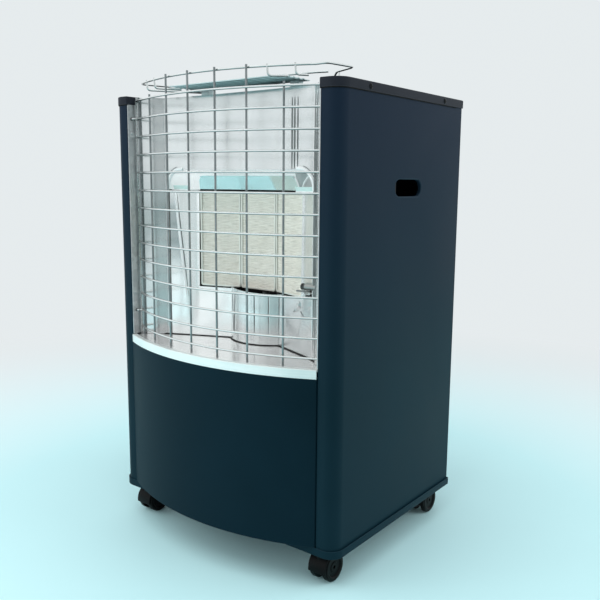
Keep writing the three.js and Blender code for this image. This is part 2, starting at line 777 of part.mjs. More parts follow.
function makeTray() {
  const front = bowPoints(trayInset, trayHalf - 13, 10).map(([x, y]) => [x, y, trayHeight]);
  const loop = [
    ...front,
    [trayHalf - 3, front[0][1] + 9, trayHeight],
    [trayHalf, front[0][1] + 20, trayHeight],
    [trayHalf, trayBack - 8, trayHeight],
    [trayHalf - 8, trayBack, trayHeight],
    [0, trayBack, trayHeight],
    [-trayHalf + 8, trayBack, trayHeight],
    [-trayHalf, trayBack - 8, trayHeight],
    [-trayHalf, front[0][1] + 20, trayHeight],
    [-trayHalf + 3, front[0][1] + 9, trayHeight],
  ].map((p) => new THREE.Vector3(...p));
  const half = wireRadius + 0.2;
  const ring = ringWire(loop, half);
  const floor = hookPlaces.map((x) => {
    const y = bowY(x, trayInset);
    const low = trayHeight - 11.5;
    return bentTube([[x, y, trayHeight], [x, y + 0.5, low + 1], [x, trayBack + 3.5, trayHeight - 2.6]],
      6, wireRadius, 6, 2);
  });
  const feet = [-1, 1].flatMap((side) => [front[0][1] + 24, trayBack - 12].map((y) => rod(
    [side * trayHalf, y, lidTop + gap], [side * trayHalf, y, trayHeight], wireRadius, 6)));
  return join(ring, ...floor, ...feet);
}

// A closed loop of wire in one level plane, with a six-sided section.
function ringWire(loop, radius) {
  const count = loop.length;
  const corners = [];
  for (let i = 0; i < count; i += 1) {
    const before = loop[i].clone().sub(loop[(i + count - 1) % count]).normalize();
    const after = loop[(i + 1) % count].clone().sub(loop[i]).normalize();
    const side = new THREE.Vector3(before.y + after.y, -before.x - after.x, 0).normalize();
    const stretch = 1 / side.dot(new THREE.Vector3(before.y, -before.x, 0));
    for (let k = 0; k < 6; k += 1) {
      const angle = (k / 6) * 2 * Math.PI;
      corners.push(loop[i].clone()
        .addScaledVector(side, radius * Math.cos(angle) * stretch)
        .add(new THREE.Vector3(0, 0, radius * Math.sin(angle))));
    }
  }
  const triangles = [];
  for (let i = 0; i < count; i += 1) {
    const next = (i + 1) % count;
    for (let k = 0; k < 6; k += 1) {
      const a = corners[i * 6 + k];
      const b = corners[i * 6 + ((k + 1) % 6)];
      const c = corners[next * 6 + k];
      const d = corners[next * 6 + ((k + 1) % 6)];
      triangles.push(a, c, b, b, c, d);
    }
  }
  return new THREE.BufferGeometry().setFromPoints(triangles);
}

// The pressed plate below the tray that throws the warm air forward, with its two legs on the lid.
function makeDeflector() {
  const half = 114;
  const front = -155;
  const back = -89;
  const level = 712;
  const beads = 5;
  const profile = [[front, level]];
  for (let i = 0; i < beads; i += 1) {
    const y = front + 9 + i * 11;
    profile.push([y - 2, level], [y, level + 1], [y + 2, level]);
  }
  profile.push([back, level]);
  const plate = alongX(bentStrip(profile, sheet), -half, half);
  const legs = [-90, 90].map((x) => box(x - 8, x + 8, back - 10, back, lidTop + gap, level + 0.6));
  return join(plate, ...legs);
}

function makeGuard() {
  place('wire_guard', makeWireGuard(), finishes.plated);
  place('guard_top_tray', makeTray(), finishes.plated);
  place('top_deflector', makeDeflector(), finishes.polished);
}

// ---- gas tap, pipes and ignition ----

// The tap has the hose barb behind it, two ports in front and a blind bore above for its spindle.
function makeTap() {
  const [x, y] = knobPlace;
  const pieces = [
    box(x - tap.half, x + tap.half, y - tap.front, y + tap.back, tap.bottom, tap.top - 6),
    rod([x, y, tap.top - 8], [x, y, tap.top], 9, 12),
    rod([x, y + 10, tap.inlet], [x, y + 26, tap.inlet], 6, 6),
    rod([x + burnerPort, y - 18, tap.ports], [x + burnerPort, y - 28, tap.ports], 6, 6),
    rod([x + pilotPort, y - 18, tap.ports], [x + pilotPort, y - 26, tap.ports], 3.6, 6),
  ];
  for (let i = 0; i < 3; i += 1) {
    const ridge = new THREE.CylinderGeometry(3.4, 4.6, 5, 8).rotateX(-Math.PI / 2);
    pieces.push(ridge.translate(x, y + 27 + i * 5, tap.inlet));
  }
  return cut(join(...pieces), rod([x, y, tap.top - 26], [x, y, tap.top + 5], 4.6, 12));
}

function makeTapBracket() {
  const [x, y] = knobPlace;
  const top = lidTop - sheet - gap;
  const wide = 24;
  const profile = bentStrip([
    [x - wide - 10, top - sheet], [x - wide, top - sheet], [x - wide, tap.top + gap],
    [x + wide, tap.top + gap], [x + wide, top - sheet], [x + wide + 10, top - sheet],
  ]);
  return cut(alongY(profile, y - 18, y + 14), rod([x, y, tap.top - 5], [x, y, tap.top + 8], 6, 12));
}

function makeSpindle() {
  const [x, y] = knobPlace;
  return rod([x, y, tap.top - 18], [x, y, lidTop + 9], 3.9, 12);
}

// A round knob with a raised grip across it, hollow below for its travel and bored for the spindle.
function makeKnob() {
  const [x, y] = knobPlace;
  const foot = lidTop + knobClearance;
  const skirt = new THREE.LatheGeometry([
    [0, 0], [17, 0], [18, 1.2], [17, 4.5], [15.5, 6], [0, 6],
  ].map(([r, z]) => new THREE.Vector2(r, z)), 18).rotateX(Math.PI / 2).translate(x, y, foot);
  const gripPlan = roundedRectangle(-14.5, 14.5, -3.6, 3.6, 3.5);
  const bar = upright(gripPlan, foot + 5, foot + 11, 4).translate(x, y, 0);
  return cut(join(skirt, bar), rod([x, y, foot - 2], [x, y, foot + 4], 4.4, 12));
}

function makeButton() {
  const [x, y] = buttonPlace;
  const points = [[0, 0], [5, 0], [5, 8], [7.6, 8], [7.6, 18.6], [6.6, 19.6], [0, 20.2]];
  return new THREE.LatheGeometry(points.map(([r, z]) => new THREE.Vector2(r, z)), 16)
    .rotateX(Math.PI / 2).translate(x, y, lidTop - 11);
}

function makeIgniterBody() {
  const [x, y] = buttonPlace;
  const top = lidTop - sheet - gap;
  const points = [
    [0, -62], [5, -62], [5, -50], [10.5, -50], [10.5, -3], [13, -3], [13, 0], [8.6, 0], [8.6, -18], [0, -18],
  ];
  return new THREE.LatheGeometry(points.map(([r, z]) => new THREE.Vector2(r, z)), 12)
    .rotateX(Math.PI / 2).translate(x, y, top);
}

// The pilot points across the foot of the right plaque, and its upright plate also carries the electrode.
function makePilot() {
  const [x, y, z] = pilotPlace;
  const sensorY = y + sensorBack;
  return cut(join(
    box(x, x + sheet, y - 6, -121.6, z - electrodeDrop - 6, z + 6),
    rod([x + 7, y, z], [x - 7, y, z], 4.4, 10),
    rod([x - 6, y, z], [x - 10, y, z], 3, 8)),
  rod([x - 5, y, z - electrodeDrop], [x + 5, y, z - electrodeDrop], 3.2, 10),
  rod([x - 5, sensorY, z - sensorDrop], [x + 5, sensorY, z - sensorDrop], 1.9, 8));
}

function makeElectrode() {
  const [x, y, z] = pilotPlace;
  const low = z - electrodeDrop;
  return join(
    rod([x + 8, y, low], [x - 7, y, low], 2.7, 10),
    bentTube([[x - 6, y, low], [x - 13, y, low], [x - 13, y, z - 5]], 2.5, 0.8, 6));
}

// The pipes and the lead run down behind the heat shield and pass forward through its slot and its hole.
const behindShield = shelfBack + 12;
const beforeShield = shelfBack - 22;

function makeBurnerPipe() {
  const x = knobPlace[0] + burnerPort;
  const side = 180;
  const [endX, endY] = manifoldEnd;
  return bentTube([
    [x, knobPlace[1] - 28.4, tap.ports], [x, 46, tap.ports], [side, 46, tap.ports],
    [side, behindShield, tap.ports], [side, behindShield, manifoldHeight],
    [side, beforeShield, manifoldHeight], [95, endY, manifoldHeight], [endX + 5.6, endY, manifoldHeight],
  ], 8, 3.4, 8, 2);
}

function makePilotPipe() {
  const x = knobPlace[0] + pilotPort;
  const side = 170;
  const high = 640;
  const slotX = 139.5;
  const [pilotX, pilotY, pilotZ] = pilotPlace;
  return bentTube([
    [x, knobPlace[1] - 26.4, tap.ports], [x, 56, tap.ports], [x, 56, high], [side, 56, high],
    [side, behindShield, high], [side, behindShield, pilotZ], [side, beforeShield, pilotZ],
    [slotX, beforeShield, pilotZ], [slotX, pilotY, pilotZ], [pilotX + 7.4, pilotY, pilotZ],
  ], 3, 1.9, 6, 2);
}

function makeIgnitionLead() {
  const [x, y] = buttonPlace;
  const side = 163;
  const high = 625;
  const slotX = 143.2;
  const [pilotX, pilotY, pilotZ] = pilotPlace;
  const low = pilotZ - electrodeDrop;
  return bentTube([
    [x, y, 640.6], [x, y, high], [side, y, high], [side, behindShield, high], [side, behindShield, low],
    [side, beforeShield, low], [slotX, beforeShield, low], [slotX, pilotY, low], [pilotX + 8.4, pilotY, low],
  ], 4, 1.2, 6, 2);
}

// The flame sensor's tip stands beside the pilot, and its thin tube ends in a nut under the tap.
function makeFlameSensor() {
  const x = knobPlace[0] + sensorPort;
  const side = 166.5;
  const high = 632;
  const slotX = 141.2;
  const [pilotX, pilotY, pilotZ] = pilotPlace;
  const tipY = pilotY + sensorBack;
  const low = pilotZ - sensorDrop;
  const portY = knobPlace[1] + 2;
  return join(
    rod([pilotX + 3, tipY, low], [pilotX - 12, tipY, low], 1.5, 6),
    bentTube([
      [pilotX + 2, tipY, low], [slotX, tipY, low], [slotX, beforeShield, low], [side, beforeShield, low],
      [side, behindShield, low], [side, behindShield, high], [side, portY, high], [x, portY, high],
      [x, portY, tap.bottom - 2],
    ], 3, 1, 6, 2),
    rod([x, portY, tap.bottom - 10], [x, portY, tap.bottom - gap], 4, 6));
}

function makeGasParts() {
  place('gas_tap', makeTap(), finishes.brass);
  place('tap_bracket', makeTapBracket(), finishes.zinc);
  place('tap_spindle', makeSpindle(), finishes.steel);
  place('control_knob', makeKnob(), finishes.blackPlastic);
  place('igniter_button', makeButton(), finishes.redPlastic);
  place('piezo_igniter', makeIgniterBody(), finishes.blackPlastic);
  place('pilot_burner', makePilot(), finishes.steel);
  place('ignition_electrode', makeElectrode(), finishes.whiteCeramic);
  place('flame_sensor', makeFlameSensor(), finishes.copper);
  place('gas_pipe_burner', makeBurnerPipe(), finishes.copper);
  place('gas_pipe_pilot', makePilotPipe(), finishes.copper);
  place('ignition_lead', makeIgnitionLead(), finishes.blackPlastic);
}

// ---- casters ----

function makeStem() {
  const points = [[0, 32], [3.9, 32], [3.9, 47.4], [15, 47.4], [15, baseBottom - gap], [0, baseBottom - gap]];
  return new THREE.LatheGeometry(points.map(([r, z]) => new THREE.Vector2(r, z)), 10).rotateX(Math.PI / 2);
}

// The hood with the web between the wheels, the bore for the stem and the axle pin.
function makeHood() {
  const outer = wheelRadius + 3.4;
  const inner = wheelRadius + 1.2;
  const rim = new THREE.Shape([
    ...arcPoints(trail, wheelRadius, outer, 0.15 * Math.PI, 1.05 * Math.PI, 7),
    ...arcPoints(trail, wheelRadius, inner, 0.15 * Math.PI, 1.05 * Math.PI, 7).reverse(),
  ].map(([y, z]) => new THREE.Vector2(y, z)));
  const web = new THREE.Shape([
    ...arcPoints(trail, wheelRadius, inner + 0.6, 0.15 * Math.PI, 1.05 * Math.PI, 7),
    ...arcPoints(trail, wheelRadius, 6, 1.1 * Math.PI, 2.1 * Math.PI, 3),
  ].map(([y, z]) => new THREE.Vector2(y, z)));
  const width = wheelInner + wheelWidth;
  const body = join(
    alongX(rim, -width + 0.6, width - 0.6),
    alongX(web, -wheelInner + 0.8, wheelInner - 0.8),
    rod([0, 0, 30], [0, 0, 46.9], 6, 10),
    rod([-width + 1, trail, wheelRadius], [width - 1, trail, wheelRadius], 2.5, 8));
  return cut(body, rod([0, 0, 25], [0, 0, 50], 4.5, 10));
}

function makeWheel() {
  const r = wheelRadius;
  const w = wheelWidth;
  const points = [
    [3, 0], [r, 0], [r, w - 2], [r - 2, w], [r - 6, w], [3, w - 2.5], [3, 0],
  ];
  return new THREE.LatheGeometry(points.map(([x, y]) => new THREE.Vector2(x, y)), 16)
    .rotateZ(-Math.PI / 2).translate(wheelInner, trail, r);
}

function makeCasters() {
  const stem = makeStem();
  const hood = makeHood();
  const wheel = makeWheel();
  const otherWheel = mirrored(wheel);
  for (const [name, [x, y]] of Object.entries(casterPlaces)) {
    const caster = new THREE.Group();
    caster.position.set(x, y, 0);
    heater.add(caster);
    place(`caster_stem_${name}`, stem, finishes.steel, caster);
    place(`caster_hood_${name}`, hood, finishes.blackPlastic, caster);
    place(`caster_wheel_a_${name}`, otherWheel, finishes.blackPlastic, caster);
    place(`caster_wheel_b_${name}`, wheel, finishes.blackPlastic, caster);
  }
}

makeCabinet();
makeReflector();
makeBurner();
makeGuard();
makeGasParts();
makeCasters();

export default heater;
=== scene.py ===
import math

import bmesh
import bpy
from mathutils import Matrix, Vector


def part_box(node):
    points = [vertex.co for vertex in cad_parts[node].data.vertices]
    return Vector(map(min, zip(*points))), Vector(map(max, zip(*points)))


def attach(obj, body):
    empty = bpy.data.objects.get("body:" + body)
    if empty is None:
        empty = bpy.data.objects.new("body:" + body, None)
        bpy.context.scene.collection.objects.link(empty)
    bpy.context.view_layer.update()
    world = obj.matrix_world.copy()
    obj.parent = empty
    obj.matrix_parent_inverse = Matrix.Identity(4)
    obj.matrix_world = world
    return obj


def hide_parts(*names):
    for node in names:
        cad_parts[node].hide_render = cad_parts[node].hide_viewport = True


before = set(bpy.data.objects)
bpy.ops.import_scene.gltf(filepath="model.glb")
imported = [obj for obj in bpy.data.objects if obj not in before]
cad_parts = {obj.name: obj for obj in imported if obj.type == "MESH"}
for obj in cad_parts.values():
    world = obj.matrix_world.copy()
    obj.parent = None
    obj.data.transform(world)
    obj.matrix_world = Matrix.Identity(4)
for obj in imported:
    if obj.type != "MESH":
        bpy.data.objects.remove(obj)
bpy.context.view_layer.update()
print("frame loaded:", len(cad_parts), "nodes")

# Lengths are in millimetres until spot() turns them into the frame's metres.
mm = 0.001
midY = sum(corner.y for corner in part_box("side_panel_right")) / 2  # the cabinet's middle, front to back

cabinet = {
    "half": 225.0, "deep": 175.0, "sheet": 1.2, "gap": 0.4, "corner": 21.6, "opening": 191.0,
    "baseLow": 50.0, "baseLip": 12.0, "lidTop": 705.0, "lidLip": 12.5, "lidHalf": 223.8,
    "panelX": 222.2, "panelY": 173.4}
bow = {"reach": 45.0, "half": 191.0, "steps": 64}
bow["radius"] = (bow["half"] ** 2 + bow["reach"] ** 2) / (2 * bow["reach"])
bow["centre"] = bow["radius"] - bow["reach"] - cabinet["deep"]
trim = {"low": 307.0, "high": 320.0, "sheet": 2.0}
shelfTop = 318.4


class Signal:
    # One output of a node, so that a pattern reads as a sum.
    def __init__(self, book, socket):
        self.book = book
        self.socket = socket

    def of(self, name):
        return Signal(self.book, self.socket.node.outputs[name])

    def sum(self, operation, first, second):
        return self.book.add("ShaderNodeMath", {"operation": operation}, {0: first, 1: second})


signs = {"add": "ADD", "sub": "SUBTRACT", "mul": "MULTIPLY", "truediv": "DIVIDE", "pow": "POWER"}
for sign, name in signs.items():
    setattr(Signal, f"__{sign}__", lambda self, other, name=name: self.sum(name, self, other))
    setattr(Signal, f"__r{sign}__", lambda self, other, name=name: self.sum(name, other, self))


class Book:
    # A node tree and the one method that adds any node to it.
    def __init__(self, tree):
        self.tree = tree

    def put(self, socket, value):
        if isinstance(value, Signal):
            self.tree.links.new(value.socket, socket)
        elif socket.type == "RGBA" and len(value) == 3:
            socket.default_value = (*value, 1.0)
        else:
            socket.default_value = value

    def add(self, kind, settings=None, values=None, out=0):
        node = self.tree.nodes.new(kind)
        for name, value in (settings or {}).items():
            setattr(node, name, value)
        for name, value in (values or {}).items():
            self.put(node.inputs[name], value)
        return Signal(self, node.outputs[out]) if node.outputs else node

    def tint(self, factor, first, second):
        return self.add("ShaderNodeMix", {"data_type": "RGBA"}, {0: factor, 6: first, 7: second}, 2)

    def ramp(self, signal, low, high, start=0.0, stop=1.0):
        return self.add("ShaderNodeMapRange", {"clamp": True}, {
            "Value": signal, "From Min": low, "From Max": high, "To Min": start, "To Max": stop})

    def dot(self, first, second):
        return self.add("ShaderNodeVectorMath", {"operation": "DOT_PRODUCT"}, {0: first, 1: second}, "Value")


class Finish(Book):
    def __init__(self, name):
        self.material = bpy.data.materials.new(name)
        self.material.use_nodes = True
        super().__init__(self.material.node_tree)
        self.tree.nodes.clear()
        self.spotOn = self.add("ShaderNodeTexCoord", out="Object")

    def stretched(self, scale, where=None):
        return self.add("ShaderNodeMapping", {}, {"Vector": where or self.spotOn, "Scale": scale})

    def noise(self, scale, detail=2.0, rough=0.5, where=None):
        return self.add("ShaderNodeTexNoise", {}, {
            "Vector": where or self.spotOn, "Scale": scale, "Detail": detail, "Roughness": rough})

    def mottle(self, signal, low, high, look):
        # from the look's dark tone to its light one
        return self.tint(self.ramp(signal, low, high), look["dark"], look["light"])

    def bump(self, height, distance, strength=0.5, below=None):
        values = {"Height": height, "Distance": distance, "Strength": strength}
        if below:
            values["Normal"] = below
        return self.add("ShaderNodeBump", {}, values, "Normal")

    def along(self, way, start, end):
        # 0 to 1 between two places along a direction, in metres
        return self.ramp(self.dot(self.spotOn, way), start, end)

    def edges(self, radius):
        # 1 where the surface turns sharply within the radius, 0 on the flat
        soft = self.add("ShaderNodeBevel", {"samples": 4}, {"Radius": radius})
        true = self.add("ShaderNodeNewGeometry", out="Normal")
        return self.ramp(self.dot(soft, true), 0.995, 0.8)

    def surface(self, **values):
        shader = self.add("ShaderNodeBsdfPrincipled", {}, {
            name.replace("_", " "): value for name, value in values.items()})
        self.add("ShaderNodeOutputMaterial", {}, {"Surface": shader})
        return self.material


def makePaint(name, look):
    # Powder coat: a fine peel, a slow drift of tone, and lighter edges that are partly worn paint and partly
    # a painted highlight.
    finish = Finish(name)
    drift = finish.noise(look["drift"], 3.0)
    peel = finish.noise(look["peel"], 2.0)
    dust = finish.ramp(finish.noise(900.0, 1.0), 0.70, 0.78)
    colour = finish.mottle(drift, 0.3, 0.7, look)
    # a look's upper tone paints the coat lighter towards the top: painted light from above
    if "upper" in look:
        colour = finish.tint(finish.along((0, 0, 1), 0.28, 0.68), colour, look["upper"])
    # the edges are painted lighter: partly worn paint, partly a painted highlight along them, as on the lid's
    # top edge
    colour = finish.tint(finish.edges(0.0012) * look["wear"], colour, look["rubbed"])
    # light dust specks take the same lighter tone
    colour = finish.tint(dust * 0.12, colour, look["rubbed"])
    rough = finish.ramp(drift, 0.2, 0.8, *look["rough"])
    return finish.surface(
        Base_Color=colour, Roughness=rough, Normal=finish.bump(peel, look["depth"]),
        Specular_IOR_Level=look["shine"])


def makeSheetMetal(name, look):
    # Rolled sheet: slow waves in the surface, faint streaks of the rolling and clouded gloss.
    # "gather" is a painted glow that stands for the light that bounces about in the hollow of the plaques,
    # and each painted shade is a stretch painted darker and tinted, as painted shade and painted reflection,
    # given by (direction, start, end) for each of its limits; the glow is off there.
    finish = Finish(name)
    waves = finish.noise(look["waves"], 0.0)
    streaks = finish.noise(look["streaks"], 3.0, 0.6, finish.stretched(look["grain"]))
    clouds = finish.noise(look["clouds"], 4.0, 0.6)
    colour = finish.mottle(clouds * 0.6 + streaks * 0.4, 0.35, 0.65, look)
    rough = finish.ramp(clouds, 0.3, 0.7, *look["rough"])
    gathered = (0.90, 0.975, 0.975)
    # each stretch is painted darker: painted shade and painted reflection, and its glow is switched off
    for reach, share, shadeTone in look.get("veils", ()):
        spread = finish.along(*reach[0])
        for limit in reach[1:]:
            spread = spread * finish.along(*limit)
        colour = finish.tint(spread * share, colour, shadeTone)
        gathered = finish.tint(spread, gathered, (0.0, 0.0, 0.0))
    low = finish.bump(waves, look["waveDepth"], 0.8)
    return finish.surface(
        Base_Color=colour, Metallic=look["metal"], Roughness=rough,
        Normal=finish.bump(streaks, look["grainDepth"], 0.5, low),
        Emission_Color=gathered, Emission_Strength=look.get("gather", 0.0))


def makeZinc(name, look):
    # Hot dipped zinc: flat crystals of unlike tone.
    finish = Finish(name)
    crystals = finish.add("ShaderNodeTexVoronoi", {"feature": "F1"}, {
        "Vector": finish.spotOn, "Scale": look["crystals"], "Randomness": 1.0}, "Color")
    tone = finish.add("ShaderNodeSeparateColor", {}, {0: crystals})
    haze = finish.noise(35.0, 3.0)
    colour = finish.tint(tone * 0.6 + haze * 0.4, look["dark"], look["light"])
    rough = finish.ramp(tone.of("Green"), 0.0, 1.0, *look["rough"])
    return finish.surface(
        Base_Color=colour, Metallic=1.0, Roughness=rough,
        Normal=finish.bump(tone + haze, 0.00012, 0.4))


def makePlating(name, look):
    # Plated metal: patches of tone, fine pits, and a painted shade where the surface faces down.
    finish = Finish(name)
    patches = finish.noise(look["patches"], 3.0)
    pits = finish.noise(1600.0, 2.0)
    colour = finish.mottle(patches, 0.35, 0.65, look)
    # the undersides are painted darker: painted shade, as they face away from the light above
    if "film" in look:
        normal = finish.add("ShaderNodeNewGeometry", out="Normal")
        facing = finish.add("ShaderNodeSeparateXYZ", {}, {0: normal})
        under = finish.ramp(facing.of("Z"), 0.0, -0.65)
        colour = finish.tint(under * 0.92, colour, look["film"])
    return finish.surface(
        Base_Color=colour, Metallic=1.0, Roughness=finish.ramp(patches, 0.3, 0.7, *look["rough"]),
        Normal=finish.bump(pits, 0.00004))


def makePlastic(name, look):
    finish = Finish(name)
    grain = finish.noise(look["grain"], 3.0, 0.6)
    colour = finish.mottle(finish.noise(40.0, 2.0), 0.3, 0.7, look)
    return finish.surface(
        Base_Color=colour, Roughness=finish.ramp(grain, 0.3, 0.7, *look["rough"]),
        Normal=finish.bump(grain, look["depth"]), Specular_IOR_Level=look["shine"])


def makeCeramic(name, look):
    # Burner plaque: rows of fine bores and slow stains, laid out on the piece's own map in millimetres.
    finish = Finish(name)
    cover = finish.add("ShaderNodeUVMap", {"uv_map": "face"})
    across = finish.add("ShaderNodeSeparateXYZ", {}, {0: cover})
    offX, offY = (
        finish.add("ShaderNodeMath", {"operation": "FRACT"}, {0: place / look["pitch"]}) - 0.5
        for place in (across, across.of("Y")))
    away = (offX * offX + offY * offY) ** 0.5
    bores = finish.ramp(away, look["bore"], look["bore"] * 0.7)
    stains = finish.noise(look["stains"], 4.0, 0.65)
    streaks = finish.noise(60.0, 3.0, 0.6, finish.stretched((1.0, 1.0, 9.0)))
    colour = finish.mottle(stains * 0.5 + streaks * 0.5, 0.35, 0.65, look)
    # the ridges are brushed: each row is lighter or darker along its length
    brushed = finish.noise(1.0, 3.0, 0.7, finish.stretched((0.05, 1.6, 1.0), cover))
    colour = finish.tint(finish.ramp(brushed, 0.45, 0.72) * 0.75, colour, look["hole"])
    # the bores are painted darker: painted shade inside holes that the mesh does not have
    colour = finish.tint(bores * 0.35, colour, look["hole"])
    height = finish.noise(1500.0, 3.0) * 0.25 + brushed * 0.8 - bores
    return finish.surface(
        Base_Color=colour, Roughness=0.92, Normal=finish.bump(height, 0.0004, 0.6), Specular_IOR_Level=0.2)


# what several looks share
# "wear" is how strongly the edges are painted lighter, as worn paint and as a painted highlight
coat = {"drift": 5.0, "peel": 1500.0, "depth": 0.00005, "rough": (0.42, 0.52), "wear": 0.5}
rolled = {"streaks": 30.0, "grain": (1.0, 1.0, 0.2), "grainDepth": 0.000008, "clouds": 16.0}
wavy = {**rolled, "waves": 8.0, "waveDepth": 0.0020, "metal": 0.84}
crossed = {**rolled, "grain": (0.1, 1.0, 1.0), "waveDepth": 0.0012, "metal": 0.80, "rough": (0.14, 0.26)}
folded = {
    "waves": 20.0, "waveDepth": 0.0003, "streaks": 40.0, "grain": (0.2, 1.0, 1.0), "grainDepth": 0.00001,
    "clouds": 30.0}
cast = {"waves": 30.0, "waveDepth": 0.0004, "streaks": 80.0, "grain": (1.0, 1.0, 0.3)}
